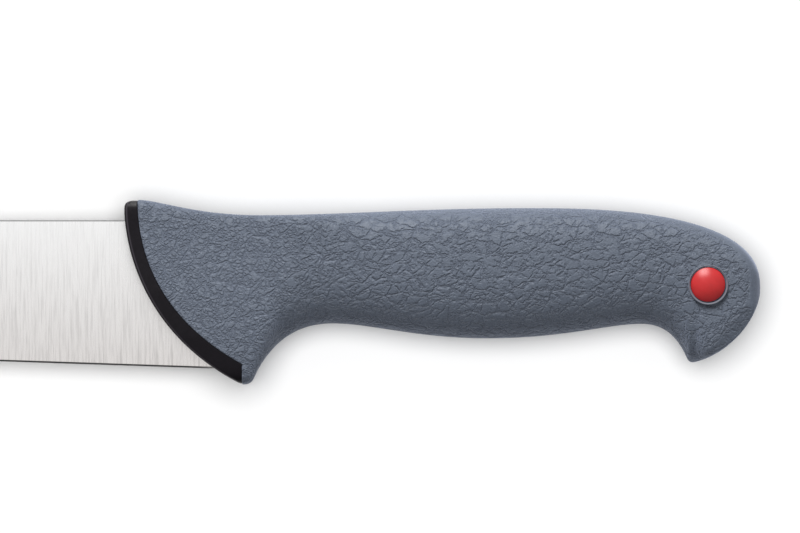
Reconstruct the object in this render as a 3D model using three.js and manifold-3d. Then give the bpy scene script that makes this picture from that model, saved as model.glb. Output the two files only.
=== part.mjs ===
// A butcher knife lying on its side: a flat-ground stainless blade with a hidden tang, a black core moulded
// round the tang that shows as a collar in front of the grip, a grey grip moulded over the core, and two
// exchangeable colour plugs pushed into one bore through the butt.
//
// Millimetres. u runs from the collar's foremost point back to the butt, v up from the blade's spine, and z
// out of the blade's middle plane. The finished knife is moved so that its origin is the middle of its
// underside.
import * as THREE from 'three';
import { mergeVertices } from 'three/addons/utils/BufferGeometryUtils.js';
import Module from 'manifold-3d';

const wasm = await Module();
wasm.setup();

// Clearance between pieces that are moulded or pushed together.
const FIT_GAP = 0.3;

// Blade, from its tip to the heel inside the collar.
const BLADE_LENGTH = 200;
const BLADE_STOCK = 2.5;
const HEEL_DEPTH = 34.1;
const MIDDLE_DEPTH = 30.5;
const BELLY_RUN = 120;
const SPINE_FALL_RUN = 80;
const TIP_DROP = 7;
const TIP_STOCK = 1.2;
const TIP_BLUNT = 0.3;
const EDGE_SHOULDER = 0.4;
const EDGE_BEVEL_HEIGHT = 0.9;
const EDGE_FLAT = 0.06;
const UNSHARPENED_HEEL = 4.4;
const FLAT_TO_COLLAR = 4;

// Tang, and how the blade sits in the core.
const HEEL_IN_COLLAR = 4;
const HEEL_WALL = 2;
const TANG_LAP = 1.5;
const TANG_COVER = 3.6;
const TANG_END_HEIGHT = 9;
const TANG_TO_PLUG = 13;
const TANG_HOLE_RADIUS = 2.4;
const TANG_HOLES = 3;

// Handle outline, seen from the side.
const HANDLE_LENGTH = 145;
const COLLAR_TOP = 4.6;
const COLLAR_TOP_RUN = 3;
const THUMB_DIP_AT = 31;
const THUMB_DIP_TOP = 1.1;
const CREST_FROM_BUTT = 53;
const CREST_TOP = 2.7;
const BUTT_DROP = 16;
const GUARD_DROP = 37.5;
const HEEL_SOLE = 0.6;
const HEEL_CORNER_RUN = 2.8;
const HEEL_CORNER_RISE = 2.9;
const NECK_AT = 47.5;
const NECK_DROP = 23.6;
const PALM_DROP = 27;
const WAIST_FROM_BUTT = 27;
const WAIST_DROP = 23.7;
const HOOK_FROM_BUTT = 15.2;
const HOOK_RUN = 17;
const HOOK_DROP = 32.7;
const HOOK_TIP_RUN = 1.4;
const HOOK_TIP_RISE = 0.8;
const CREST_CURVE_POWER = 2.58;
const HOOK_CURVE_POWER = 1.7;

// Handle half thickness, seen from above.
const GUARD_HALF = 9.4;
const NECK_HALF = 8.8;
const PALM_HALF = 10.5;
const BUTT_HALF = 9.2;
const BUTT_ROUNDING = 9;
const BUTT_CURVE_POWER = 3;
const BUTT_CAP = 0.05;

// The grip's widest line, below the spine's level, and the squareness of the sections above and below it: 2 is
// an ellipse, and more is squarer. At the guard and the hook the widest line runs midway, and the guard's
// sections give way to the grip's over a run behind the heel.
const CROWN_DROP = 9.2;
const GUARD_FADE = 15;
const GUARD_POWER = 10;
const GRIP_TOP_POWER = 2.8;
const GRIP_LOWER_POWER = 2.3;
const HOOK_POWER = 3.2;
const BUTT_TOP_POWER = 4.5;
const BUTT_LOWER_POWER = 5;

// Bevel across the butt's lower corner: where it starts, how far below the butt's side, which way it falls from
// the handle's length, and how steeply, in degrees.
const BEVEL_FROM_BUTT = 5.2;
const BEVEL_DROP = 21.2;
const BEVEL_SINK = 0.25;
const BEVEL_HEADING = 42.5;
const BEVEL_TILT = 20;

// Core and collar.
const GRIP_WALL = 3;
const COLLAR_INSET = 0.2;
const COLLAR_CHAMFER = 0.8;
const COLLAR_CORNER = 2.1;
const COLLAR_TOP_WIDTH = 3;
const COLLAR_FOOT_AT = 26.8;
const COLLAR_FOOT_HEIGHT = 4.65;

// Colour plugs and the bore that holds them.
const PLUG_FROM_BUTT = 12;
const PLUG_DROP = 14.7;
const PLUG_CAP_RADIUS = 4;
const PLUG_CAP_EDGE = 0.5;
const PLUG_DOME_RISE = 1;
const PLUG_SHANK_RADIUS = 2.2;
const PLUG_BARB_OVERHANG = 0.4;
const PLUG_BARB_SLOPE = 0.8;
const PLUG_SLOT_WIDTH = 0.8;
const PLUG_SLOT_STOP = 2.5;
const PLUG_END_GAP = 3.8;
const SEAT_DEPTH = 0.6;
const RIM_WIDTH = 0.4;
const RIM_RISE = 0.35;

// Fineness of the curved surfaces.
const OUTER_SIDES = 24;
const CORE_SIDES = 16;
const ROUND_SIDES = 24;
const DOME_STEPS = 3;
const BELLY_SECTIONS = 16;
const OUTLINE_STEPS = 14;
const READING_STEPS = 40;
const INSET_STEPS = 12;

// How far the cutting shapes run past what they cut.
const BEYOND = 20;

const palmAt = (NECK_AT + HANDLE_LENGTH - WAIST_FROM_BUTT) / 2;
const waistAt = HANDLE_LENGTH - WAIST_FROM_BUTT;
const hookTipAt = HANDLE_LENGTH - HOOK_FROM_BUTT;
const heelTipAt = COLLAR_FOOT_AT + HEEL_SOLE;
const heelBackAt = heelTipAt + HEEL_CORNER_RUN;
const plugAt = HANDLE_LENGTH - PLUG_FROM_BUTT;
const seatLevel = BUTT_HALF - SEAT_DEPTH;
const seatRadius = PLUG_CAP_RADIUS + FIT_GAP;
const boreRadius = PLUG_SHANK_RADIUS + PLUG_BARB_OVERHANG + FIT_GAP;
const shankLength = seatLevel + FIT_GAP - PLUG_END_GAP / 2;

const farFront = -BLADE_LENGTH - BEYOND;
const farBack = HANDLE_LENGTH + BEYOND;
const farTop = COLLAR_TOP + BEYOND;
const farLower = -GUARD_DROP - BEYOND;
const throughAll = 2 * (PALM_HALF + BEYOND);

// What is left of a superellipse's half height at a share of its half width.
function roundOff(share, power) {
  return (1 - Math.min(Math.max(share, 0), 1) ** power) ** (1 / power);
}

// A share from 0 to 1 that starts and stops gently.
function ease(share) {
  const kept = Math.min(Math.max(share, 0), 1);
  return kept * kept * (3 - 2 * kept);
}

// Adds a curve that leaves and arrives level, with its two handles as shares of its run.
function swell(path, u, v, leave, arrive) {
  const { x, y } = path.currentPoint;
  const run = u - x;
  path.bezierCurveTo(x + leave * run, y, u - arrive * run, v, u, v);
}

// Adds a curve with both handles given as shares of its run and its rise.
function sweep(path, u, v, [leaveRun, leaveRise], [arriveRun, arriveRise]) {
  const { x, y } = path.currentPoint;
  const [run, rise] = [u - x, v - y];
  path.bezierCurveTo(
    x + leaveRun * run, y + leaveRise * rise, x + arriveRun * run, y + arriveRise * rise, u, v);
}

// Reads a path drawn from front to back as a height at any distance along it.
function heightAlong(path) {
  const points = path.getPoints(READING_STEPS);
  return (u) => {
    const after = points.findIndex((point, i) => i > 0 && point.x >= u);
    const to = after < 0 ? points.at(-1) : points[after];
    const from = after < 0 ? points.at(-1) : points[after - 1];
    const run = to.x - from.x;
    const share = run > 0 ? Math.min(Math.max((u - from.x) / run, 0), 1) : 0;
    return from.y + share * (to.y - from.y);
  };
}

// The curve that stays a wall's thickness inside another: side is 1 above a floor and -1 under a roof.
function inset(height, wall, side) {
  if (wall <= 0) return height;
  return (u) => {
    let nearest = -Infinity;
    for (let i = 0; i <= INSET_STEPS; i += 1) {
      const along = wall * (2 * i / INSET_STEPS - 1);
      nearest = Math.max(nearest, side * height(u + along) + Math.sqrt(wall ** 2 - along ** 2));
    }
    return side * nearest;
  };
}

// The handle's top line: collar, thumb dip, crest, and a round fall to the butt.
function topLine() {
  const crestAt = HANDLE_LENGTH - CREST_FROM_BUTT;
  const path = new THREE.Path().moveTo(0, COLLAR_TOP).lineTo(COLLAR_TOP_RUN, COLLAR_TOP);
  swell(path, THUMB_DIP_AT, THUMB_DIP_TOP, 0.18, 0.54);
  swell(path, crestAt, CREST_TOP, 0.29, 0.41);
  const front = heightAlong(path);
  const rear = (u) =>
    (CREST_TOP + BUTT_DROP) * roundOff((u - crestAt) / CREST_FROM_BUTT, CREST_CURVE_POWER) - BUTT_DROP;
  return (u) => (u <= crestAt ? front(u) : rear(u));
}

// The handle's lower line: guard heel, finger neck, palm belly, waist, hook, and a round rise to the butt.
function lowerLine() {
  const hookCentre = HANDLE_LENGTH - HOOK_RUN;
  const rear = (u) =>
    (BUTT_DROP - HOOK_DROP) * roundOff((u - hookCentre) / HOOK_RUN, HOOK_CURVE_POWER) - BUTT_DROP;
  const path = new THREE.Path().moveTo(0, -GUARD_DROP).lineTo(heelTipAt, -GUARD_DROP);
  sweep(path, heelBackAt, HEEL_CORNER_RISE - GUARD_DROP, [0.71, 0], [0.79, 0.59]);
  sweep(path, NECK_AT, -NECK_DROP, [0.19, 0.55], [0.48, 1]);
  swell(path, palmAt, -PALM_DROP, 0.25, 0.46);
  swell(path, waistAt, -WAIST_DROP, 0.5, 0.22);
  sweep(path, hookTipAt - HOOK_TIP_RUN, rear(hookTipAt) + HOOK_TIP_RISE, [0.56, 0], [0.83, 0.48]);
  sweep(path, hookTipAt, rear(hookTipAt), [0.2, 0.75], [0.5, 1]);
  const front = heightAlong(path);
  return (u) => (u <= hookTipAt ? front(u) : rear(u));
}

// The handle's half thickness along its length, rounded off at the butt.
function halfThickness() {
  const path = new THREE.Path().moveTo(0, GUARD_HALF).lineTo(heelTipAt, GUARD_HALF);
  swell(path, NECK_AT, NECK_HALF, 0.4, 0.4);
  swell(path, palmAt, PALM_HALF, 0.4, 0.4);
  swell(path, plugAt - PLUG_CAP_RADIUS, BUTT_HALF, 0.4, 0.4);
  path.lineTo(HANDLE_LENGTH, BUTT_HALF);
  const even = heightAlong(path);
  const roundFrom = HANDLE_LENGTH - BUTT_ROUNDING;
  return (u) => even(u) * roundOff((u - roundFrom) / BUTT_ROUNDING, BUTT_CURVE_POWER);
}

const handleTop = topLine();
const handleLower = lowerLine();
const handleHalf = halfThickness();

// Distances along the handle where a section is drawn, closer together at the heel, the hook and the butt.
function stations(end) {
  const lastAt = end - HOOK_TIP_RUN;
  const zones = [
    [0, heelTipAt, 4], [heelTipAt, heelBackAt, 4], [heelBackAt, NECK_AT, 7],
    [NECK_AT, waistAt, 10], [waistAt, hookTipAt, 10], [hookTipAt, lastAt, 5],
  ];
  const along = zones.flatMap(([from, to, count]) =>
    Array.from({ length: count }, (_, i) => from + (to - from) * i / count));
  const rounding = 4;
  for (let i = 0; i <= rounding; i += 1) {
    along.push(lastAt + HOOK_TIP_RUN * Math.sin(Math.PI / 2 * i / rounding));
  }
  return along;
}

// Joins closed rings of points into one closed surface, with a fan over each end ring.
function loft(rings) {
  const sides = rings[0].length;
  const points = rings.flat();
  const faces = [];
  for (let i = 0; i < rings.length - 1; i += 1) {
    for (let j = 0; j < sides; j += 1) {
      const a = i * sides + j;
      const b = i * sides + (j + 1) % sides;
      faces.push(a, b, b + sides, a, b + sides, a + sides);
    }
  }
  for (const [start, turn] of [[0, 1], [(rings.length - 1) * sides, 0]]) {
    const ring = points.slice(start, start + sides);
    const middle = ring.reduce((sum, point) => sum.add(point), new THREE.Vector3()).divideScalar(sides);
    const centre = points.push(middle) - 1;
    for (let j = 0; j < sides; j += 1) {
      const pair = [start + j, start + (j + 1) % sides];
      faces.push(centre, pair[turn], pair[1 - turn]);
    }
  }
  const geometry = new THREE.BufferGeometry().setFromPoints(points);
  geometry.setIndex(faces);
  return geometry;
}

// The handle's whole body, drawn in by a wall's thickness all round. Each section has a flat, not a corner, at
// its top, its foot and its two sides, so the knife lies steady.
function handleBody(wall, sides) {
  const top = inset(handleTop, wall, -1);
  const lower = inset(handleLower, wall, 1);
  const half = inset(handleHalf, wall, -1);
  const rings = stations(HANDLE_LENGTH - wall - BUTT_CAP).map((u) => {
    const behindHeel = ease((u - heelTipAt) / GUARD_FADE);
    const atHook = ease((u - waistAt) / (hookTipAt - waistAt));
    const gripTopPower = GUARD_POWER + (GRIP_TOP_POWER - GUARD_POWER) * behindHeel;
    const topPower = gripTopPower + (BUTT_TOP_POWER - gripTopPower) * atHook;
    const gripPower = GUARD_POWER + (GRIP_LOWER_POWER - GUARD_POWER) * behindHeel;
    const afterHook = ease((u - hookTipAt) / (plugAt + PLUG_CAP_RADIUS - hookTipAt));
    const rearPower = HOOK_POWER + (BUTT_LOWER_POWER - HOOK_POWER) * afterHook;
    const lowerPower = gripPower + (rearPower - gripPower) * atHook;
    const middle = (top(u) + lower(u)) / 2;
    const crown = middle - (CROWN_DROP + middle) * behindHeel * (1 - atHook);
    const depth = Math.max(half(u), BUTT_CAP);
    return Array.from({ length: sides }, (_, j) => {
      const angle = 2 * Math.PI * (j + 0.5) / sides;
      const above = Math.cos(angle) > 0;
      const power = above ? topPower : lowerPower;
      const rise = above ? Math.max(top(u) - crown, BUTT_CAP) : Math.min(lower(u) - crown, -BUTT_CAP);
      const [up, out] = [Math.cos(angle), Math.sin(angle)].map((share) =>
        (Math.abs(share) / Math.cos(Math.PI / sides)) ** (2 / power));
      return new THREE.Vector3(u, crown + rise * up, Math.sign(Math.sin(angle)) * depth * out);
    });
  });
  return solid(loft(rings));
}

// Turns a closed geometry into a solid that can be joined and cut.
function solid(geometry) {
  const bare = geometry.clone();
  bare.deleteAttribute('normal');
  bare.deleteAttribute('uv');
  const { attributes, index } = mergeVertices(bare, 1e-4);
  const mesh = new wasm.Mesh({
    numProp: 3,
    vertProperties: attributes.position.array,
    triVerts: new Uint32Array(index.array),
  });
  return new wasm.Manifold(mesh);
}

// Turns a solid back into a named mesh with its material.
function piece(name, body, material) {
  const { vertProperties, triVerts } = body.getMesh();
  const geometry = new THREE.BufferGeometry();
  geometry.setAttribute('position', new THREE.BufferAttribute(vertProperties, 3));
  geometry.setIndex(new THREE.BufferAttribute(triVerts, 1));
  geometry.computeVertexNormals();
  const mesh = new THREE.Mesh(geometry, material);
  mesh.name = name;
  return mesh;
}

// A flat outline given a thickness, centred on the blade's middle plane.
function plate(points, thickness, holes = []) {
  const shape = new THREE.Shape(points);
  shape.holes.push(...holes);
  const options = { depth: thickness, bevelEnabled: false, curveSegments: OUTLINE_STEPS };
  return solid(new THREE.ExtrudeGeometry(shape, options).translate(0, 0, -thickness / 2));
}

// A round bar along z at the plugs' place.
function plugBar(radius, from, to) {
  const bar = new THREE.CylinderGeometry(radius, radius, to - from, ROUND_SIDES).rotateX(Math.PI / 2);
  return solid(bar.translate(plugAt, -PLUG_DROP, (from + to) / 2));
}

// The collar's front line, from its rounded top corner down to the guard's foot.
function collarFront() {
  const path = new THREE.Path().moveTo(COLLAR_CORNER, COLLAR_TOP);
  path.quadraticCurveTo(0, COLLAR_TOP, 0, COLLAR_TOP - COLLAR_CORNER);
  sweep(path, COLLAR_FOOT_AT, -GUARD_DROP, [0, 0.07], [0.03, 0.671]);
  return path.getPoints(OUTLINE_STEPS);
}

// The line where the collar ends and the grip begins.
function collarBack() {
  const path = new THREE.Path().moveTo(COLLAR_TOP_WIDTH, COLLAR_TOP);
  sweep(path, COLLAR_FOOT_AT, COLLAR_FOOT_HEIGHT - GUARD_DROP, [0, 0.457], [0.397, 0.792]);
  return path.getPoints(OUTLINE_STEPS);
}

// A line moved back along u, and no further than a limit.
function shifted(line, back, limit = Infinity) {
  return line.map((point) => new THREE.Vector2(Math.min(point.x + back, limit), point.y));
}

// A line moved back square to itself.
function offset(line, back) {
  return line.map((point, i) => {
    const before = line[Math.max(i - 1, 0)];
    const after = line[Math.min(i + 1, line.length - 1)];
    const along = after.clone().sub(before).normalize();
    return new THREE.Vector2(point.x - back * along.y, point.y + back * along.x);
  });
}

// The outline of everything between a line that runs from top to foot and a far limit along u.
function sideOf(line, limit) {
  const [top, foot] = [line[0], line.at(-1)];
  const corners = [[foot.x, farLower], [limit, farLower], [limit, farTop], [top.x, farTop]];
  return [...line, ...corners.map(([u, v]) => new THREE.Vector2(u, v))];
}

const behind = (line) => sideOf(line, farBack);
const before = (line) => sideOf(line, farFront);

// The blade's spine and edge as heights along it. The edge is straight up to where the belly starts.
function bladeLines() {
  const straightEnd = BELLY_RUN - BLADE_LENGTH;
  const taper = (HEEL_DEPTH - MIDDLE_DEPTH) / (COLLAR_FOOT_AT - straightEnd);
  const spinePath = new THREE.Path().moveTo(-BLADE_LENGTH, -TIP_DROP);
  sweep(spinePath, SPINE_FALL_RUN - BLADE_LENGTH, 0, [0.19, 0.64], [0.5, 1]);
  spinePath.lineTo(NECK_AT, 0);
  const edgePath = new THREE.Path().moveTo(-BLADE_LENGTH, -TIP_DROP - TIP_BLUNT);
  sweep(edgePath, straightEnd, -MIDDLE_DEPTH, [0.17, 0.72], [0.5, 0.93]);
  edgePath.lineTo(NECK_AT, -MIDDLE_DEPTH - taper * (NECK_AT - straightEnd));
  return { spine: heightAlong(spinePath), edge: heightAlong(edgePath), straightEnd };
}

// The ground blade, one plane a side from the spine to the edge's shoulder along the straight, thinning from
// there to the tip. Its heel ends inside the collar.
function groundBlade(grown) {
  const { spine, edge, straightEnd } = bladeLines();
  const grind = (BLADE_STOCK - EDGE_SHOULDER) / 2 / HEEL_DEPTH;
  const section = (u, sharp) => {
    const thinned = ease((straightEnd - u) / BELLY_RUN);
    const depth = spine(u) - edge(u);
    const bevel = Math.min(EDGE_BEVEL_HEIGHT, depth / 3);
    const spineHalf = (BLADE_STOCK + (TIP_STOCK - BLADE_STOCK) * thinned) / 2;
    const planeHalf = BLADE_STOCK / 2 - grind * (depth - bevel);
    const shoulderHalf = planeHalf + (EDGE_SHOULDER / 2 - planeHalf) * thinned;
    const edgeHalf = sharp ? EDGE_FLAT / 2 : shoulderHalf - grind * bevel;
    const [top, low, foot] = [spine(u) + grown, edge(u) + bevel, edge(u) - grown];
    const side = [[top, spineHalf + grown], [low, shoulderHalf + grown], [foot, edgeHalf + grown]];
    const other = side.map(([v, z]) => [v, -z]).reverse();
    return [...side, ...other].map(([v, z]) => new THREE.Vector3(u, v, z));
  };
  const heelFront = collarFront().find((point) => point.y <= edge(point.x)) ?? collarFront().at(-1);
  const sharpFrom = heelFront.x - UNSHARPENED_HEEL;
  const rings = Array.from({ length: BELLY_SECTIONS }, (_, i) =>
    section(BELLY_RUN * (i / BELLY_SECTIONS) ** 1.4 - BLADE_LENGTH, true));
  for (const u of [straightEnd, -FLAT_TO_COLLAR, sharpFrom - EDGE_BEVEL_HEIGHT]) rings.push(section(u, true));
  for (const u of [sharpFrom, NECK_AT]) rings.push(section(u, false));
  const heel = shifted(collarFront(), HEEL_IN_COLLAR + grown, COLLAR_FOOT_AT - HEEL_WALL + grown);
  return solid(loft(rings)).subtract(plate(behind(heel), throughAll));
}

// The tang, a straight bar of full stock that fits the core at the neck, with holes that the core fills.
function tangBar(grown) {
  const root = inset(handleTop, GRIP_WALL, -1)(NECK_AT) - TANG_COVER;
  const floor = inset(handleLower, GRIP_WALL, 1)(NECK_AT) + TANG_COVER;
  const middle = (root + floor) / 2;
  const rootHalf = (root - floor) / 2 + grown;
  const endHalf = TANG_END_HEIGHT / 2 + grown;
  const endAt = plugAt - TANG_TO_PLUG;
  const upper = [[0, rootHalf], [NECK_AT, rootHalf], [endAt + grown, endHalf]];
  const lower = upper.map(([u, half]) => [u, -half]).reverse();
  const outline = [...upper, ...lower].map(([u, half]) => new THREE.Vector2(u, middle + half));
  const pitch = (endAt - NECK_AT) / TANG_HOLES;
  const holes = Array.from({ length: TANG_HOLES }, (_, i) =>
    new THREE.Path().absarc(NECK_AT + pitch * i, middle, TANG_HOLE_RADIUS - grown, 0, 2 * Math.PI, false));
  const start = shifted(collarFront(), HEEL_IN_COLLAR - TANG_LAP - grown);
  return plate(outline, BLADE_STOCK + 2 * grown, holes).subtract(plate(before(start), throughAll));
}

// Blade and tang in one. Grown by a gap, the same body cuts the slot that the core leaves for it.
function bladeBody(grown) {
  return groundBlade(grown).add(tangBar(grown));
}

// The collar that shows in front of the grip, chamfered along its front edge.
function collarBody() {
  const outline = new THREE.Shape(behind(offset(collarFront(), COLLAR_CHAMFER)));
  const depth = 2 * (GUARD_HALF - COLLAR_INSET - COLLAR_CHAMFER);
  const options = { depth, bevelSize: COLLAR_CHAMFER, bevelThickness: COLLAR_CHAMFER, bevelSegments: 1 };
  const chamfered = new THREE.ExtrudeGeometry(outline, options).translate(0, 0, -depth / 2);
  return handleBody(COLLAR_INSET, OUTER_SIDES)
    .intersect(solid(chamfered))
    .intersect(plate(before(collarBack()), throughAll));
}

// The core moulded round the tang, with the collar at its front and the plugs' bore through its end.
function coreBody() {
  return handleBody(GRIP_WALL, CORE_SIDES)
    .intersect(plate(behind(offset(collarFront(), COLLAR_CHAMFER)), throughAll))
    .add(collarBody())
    .subtract(bladeBody(FIT_GAP))
    .subtract(plugBar(boreRadius, -PALM_HALF, PALM_HALF));
}

// What the bevel takes off the butt on one side.
function bevelCut() {
  const cut = new THREE.BoxGeometry(4 * BEYOND, 4 * BEYOND, BEYOND).translate(0, 0, BEYOND / 2);
  cut.rotateY(THREE.MathUtils.degToRad(BEVEL_TILT)).rotateZ(THREE.MathUtils.degToRad(-BEVEL_HEADING));
  return solid(cut.translate(HANDLE_LENGTH - BEVEL_FROM_BUTT, -BEVEL_DROP, BUTT_HALF - BEVEL_SINK));
}

// The grip moulded over the core, bevelled at the butt, with a raised rim round each plug's seat.
function gripBody() {
  const rimFoot = BUTT_HALF - GRIP_WALL / 2;
  const rimTop = BUTT_HALF + RIM_RISE;
  return handleBody(0, OUTER_SIDES)
    .subtract(bevelCut())
    .subtract(bevelCut().mirror([0, 0, 1]))
    .subtract(handleBody(GRIP_WALL - FIT_GAP, CORE_SIDES))
    .subtract(plate(before(offset(collarBack(), FIT_GAP)), throughAll))
    .add(plugBar(seatRadius + RIM_WIDTH, rimFoot, rimTop))
    .add(plugBar(seatRadius + RIM_WIDTH, -rimTop, -rimFoot))
    .subtract(plugBar(seatRadius, seatLevel, seatLevel + BEYOND))
    .subtract(plugBar(seatRadius, -seatLevel - BEYOND, -seatLevel))
    .subtract(plugBar(boreRadius, -seatLevel - BEYOND, seatLevel + BEYOND));
}

// One plug: a domed cap on a barbed shank, split so that the barb can close while it is pushed in.
function plugBody() {
  const barbRadius = PLUG_SHANK_RADIUS + PLUG_BARB_OVERHANG;
  const profile = new THREE.Path().moveTo(0, -shankLength);
  profile.lineTo(PLUG_SHANK_RADIUS, -shankLength);
  profile.lineTo(barbRadius, PLUG_BARB_SLOPE - shankLength);
  profile.lineTo(PLUG_SHANK_RADIUS, 2 * PLUG_BARB_SLOPE - shankLength);
  profile.lineTo(PLUG_SHANK_RADIUS, 0);
  profile.lineTo(PLUG_CAP_RADIUS, 0);
  profile.lineTo(PLUG_CAP_RADIUS, PLUG_CAP_EDGE);
  const domeRadius = (PLUG_CAP_RADIUS ** 2 + PLUG_DOME_RISE ** 2) / (2 * PLUG_DOME_RISE);
  const domeCentre = PLUG_CAP_EDGE + PLUG_DOME_RISE - domeRadius;
  const domeAngle = Math.asin(PLUG_CAP_RADIUS / domeRadius);
  profile.absarc(0, domeCentre, domeRadius, Math.PI / 2 - domeAngle, Math.PI / 2, false);
  const turned = new THREE.LatheGeometry(profile.getPoints(DOME_STEPS), ROUND_SIDES).rotateX(Math.PI / 2);
  const slotLength = 2 * (shankLength - PLUG_SLOT_STOP);
  const slot = new THREE.BoxGeometry(PLUG_SLOT_WIDTH, 4 * barbRadius, slotLength);
  return solid(turned).subtract(solid(slot.translate(0, 0, -shankLength)));
}

// Satin stainless steel, black and blue-grey polypropylene, and glossy red plastic.
const steel = new THREE.MeshStandardMaterial({ color: 0xe4e4e2, metalness: 1, roughness: 0.35 });
const blackPlastic = new THREE.MeshStandardMaterial({ color: 0x1f1c20, metalness: 0, roughness: 0.4 });
const greyPlastic = new THREE.MeshStandardMaterial({ color: 0x68707d, metalness: 0, roughness: 0.6 });
const redPlastic = new THREE.MeshStandardMaterial({ color: 0xc43c3d, metalness: 0, roughness: 0.25 });

const knife = new THREE.Group();
knife.add(piece('blade', bladeBody(0), steel));
knife.add(piece('handle_core', coreBody(), blackPlastic));
knife.add(piece('grip', gripBody(), greyPlastic));
for (const [side, name] of [[1, 'colour_plug_front'], [-1, 'colour_plug_back']]) {
  const plug = piece(name, plugBody(), redPlastic);
  plug.position.set(plugAt, -PLUG_DROP, side * (seatLevel + FIT_GAP));
  plug.rotation.x = side > 0 ? 0 : Math.PI;
  knife.add(plug);
}

// The knife lies on its palm swell, with the origin at the middle of its underside.
const box = new THREE.Box3().setFromObject(knife, true);
const middle = box.getCenter(new THREE.Vector3());
knife.position.set(-middle.x, -middle.y, -box.min.z);

const part = new THREE.Group();
part.add(knife);
export default part;
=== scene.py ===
"""A butcher knife on its side: a brushed blade, a black core with its collar, a grained grey grip and two
colour plugs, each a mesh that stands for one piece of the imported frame."""
import math

import bpy
import numpy as np
from bpy.props import FloatProperty, FloatVectorProperty, PointerProperty
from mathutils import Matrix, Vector


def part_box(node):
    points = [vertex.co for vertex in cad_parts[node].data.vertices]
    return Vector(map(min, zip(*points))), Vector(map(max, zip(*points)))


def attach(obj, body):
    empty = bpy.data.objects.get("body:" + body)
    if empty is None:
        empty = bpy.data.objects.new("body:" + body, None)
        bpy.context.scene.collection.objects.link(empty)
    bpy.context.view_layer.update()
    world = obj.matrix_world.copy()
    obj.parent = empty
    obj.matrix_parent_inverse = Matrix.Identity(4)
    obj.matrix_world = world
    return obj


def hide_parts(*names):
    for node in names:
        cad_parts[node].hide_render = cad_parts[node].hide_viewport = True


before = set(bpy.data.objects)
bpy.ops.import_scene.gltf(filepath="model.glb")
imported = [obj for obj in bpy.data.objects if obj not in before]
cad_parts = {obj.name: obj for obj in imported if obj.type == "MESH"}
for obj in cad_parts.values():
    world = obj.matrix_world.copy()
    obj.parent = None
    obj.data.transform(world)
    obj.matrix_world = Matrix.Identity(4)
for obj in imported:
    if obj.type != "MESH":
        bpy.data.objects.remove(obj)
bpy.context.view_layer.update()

bl_info = {
    "name": "Butcher Knife",
    "version": (1, 0, 0),
    "blender": (4, 5, 0),
    "location": "3D View > Sidebar > Knife",
    "description": "Builds a butcher knife round the frame of its pieces, with its stage",
    "category": "Add Mesh",
}

MM = 0.001

# The knife's own coordinates: u runs back from the collar's foremost point, v up from the blade's spine, and
# z out of the blade's middle plane. They lie along the frame's X, Y and Z, from this point.
ORIGIN = np.array([
    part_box("handle_core")[0].x,
    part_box("blade")[1].y,
    (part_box("grip")[0].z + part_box("grip")[1].z) / 2,
])

# Fineness of the meshes, and how much closer the belly's sections lie towards the tip.
CURVE_STEPS = 40
SECTION_STEPS = 721
STATIONS = 501
BALL_STEPS = 25
SEARCH_ROUNDS = 60
GRIP_SIDES = 240
GRIP_ROWS = 300
BUTT_ROWS = 40
COLLAR_SIDES = 160
COLLAR_ROWS = 14
CORE_SIDES = 48
CORE_ROWS = 90
ROUND_SIDES = 72
DOME_STEPS = 20
LIP_STEPS = 4
BELLY_SECTIONS = 90
STRAIGHT_SECTIONS = 12
CORNER_STEPS = 6
FACE_STEPS = 8
TIP_CROWDING = 1.4

# Angles in degrees over which an edge stays crisp, by slot.
CRISP = {"blade": 3.5, "core": 35, "grip": 50, "plug": 40}

# How far cutting shapes run past what they cut, the smallest end that a skin closes over, how many times
# narrower than its shape the last ring round the middle of a turned end is, and a length that is almost none.
BEYOND = 20 * MM
BUTT_CAP = 0.004 * MM
POLE_PART = 100
ALMOST_NONE = 1e-12

# Squareness of the handle's outline from the crest to the butt, and from the hook to the butt.
CREST_POWER = 2.58
HOOK_RISE_POWER = 1.7

# Which way the bevel across the butt's lower corner falls from the handle's length, and how steeply.
BEVEL_HEADING = math.radians(-42.5)
BEVEL_TILT = math.radians(25)

# The blade: how many holes the tang has, how much of the edge's bevel leads into its honed line, and how
# dull the spine is, from 0 to 1, where it is also painted darker as painted shade.
TANG_HOLES = 3
HONE_LEAD = 0.1
SPINE_DULL_AND_PAINTED_SHADE = 0.6

# The collar: the largest shares of its width that the roundings take, and how strongly a highlight is painted
# along its front edge.
FRONT_ROOM = 0.45
BACK_ROOM = 0.2
COLLAR_PAINTED_HIGHLIGHT = 0.8

# The range that noise mostly keeps to, and the depth of the ripple that a polished mould leaves.
NOISE_RANGE = (0.3, 0.7)
RIPPLE_DEPTH = 0.02 * MM

# The streaks on the blade: their size, the range of noise that draws them, and how dark the darkest are at
# the spine and at the edge.
STREAK_WIDTH = 0.5 * MM
STREAK_LENGTH = 12 * MM
STREAK_RANGE = (0.32, 0.56)
STREAK_TONES = (0.9, 0.74)

# How the grain's level creases, its slanting creases and its wrinkles lean against the handle.
LEVEL_LEAN = math.radians(3)
SLANT_LEAN = math.radians(-46)
WRINKLE_LEAN = math.radians(35)

# Over how much of the noise a patch's creases fade in, how far a surface faces sideways where the grain
# starts and where it is full, and how much of that a surface loses by facing the butt.
PATCH_SOFTNESS = 0.12
GRAIN_FACING = (-0.25, 0.3)
BUTT_SMOOTHING = -2.5

# The floor's half width, the camera's sensor in millimetres, the key light's place from the middle of the
# picture, and where the overhead light is.
FLOOR_REACH = 12.0
SENSOR_WIDTH = 36
KEY_PLACE = (-0.06, 0.4, 0.31)
OVERHEAD_LEAN = (-0.03, 0.07, 1)

# Between which parts of a direction along the knife, towards its spine or up the backdrop changes.
BACKDROP_ENDS = (0.45, 0.9)
BACKDROP_EDGE = (-0.5, 0)
BACKDROP_SIDES = (-0.5, 0.5)
BACKDROP_TOP = (0.5, 0.85)


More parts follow.
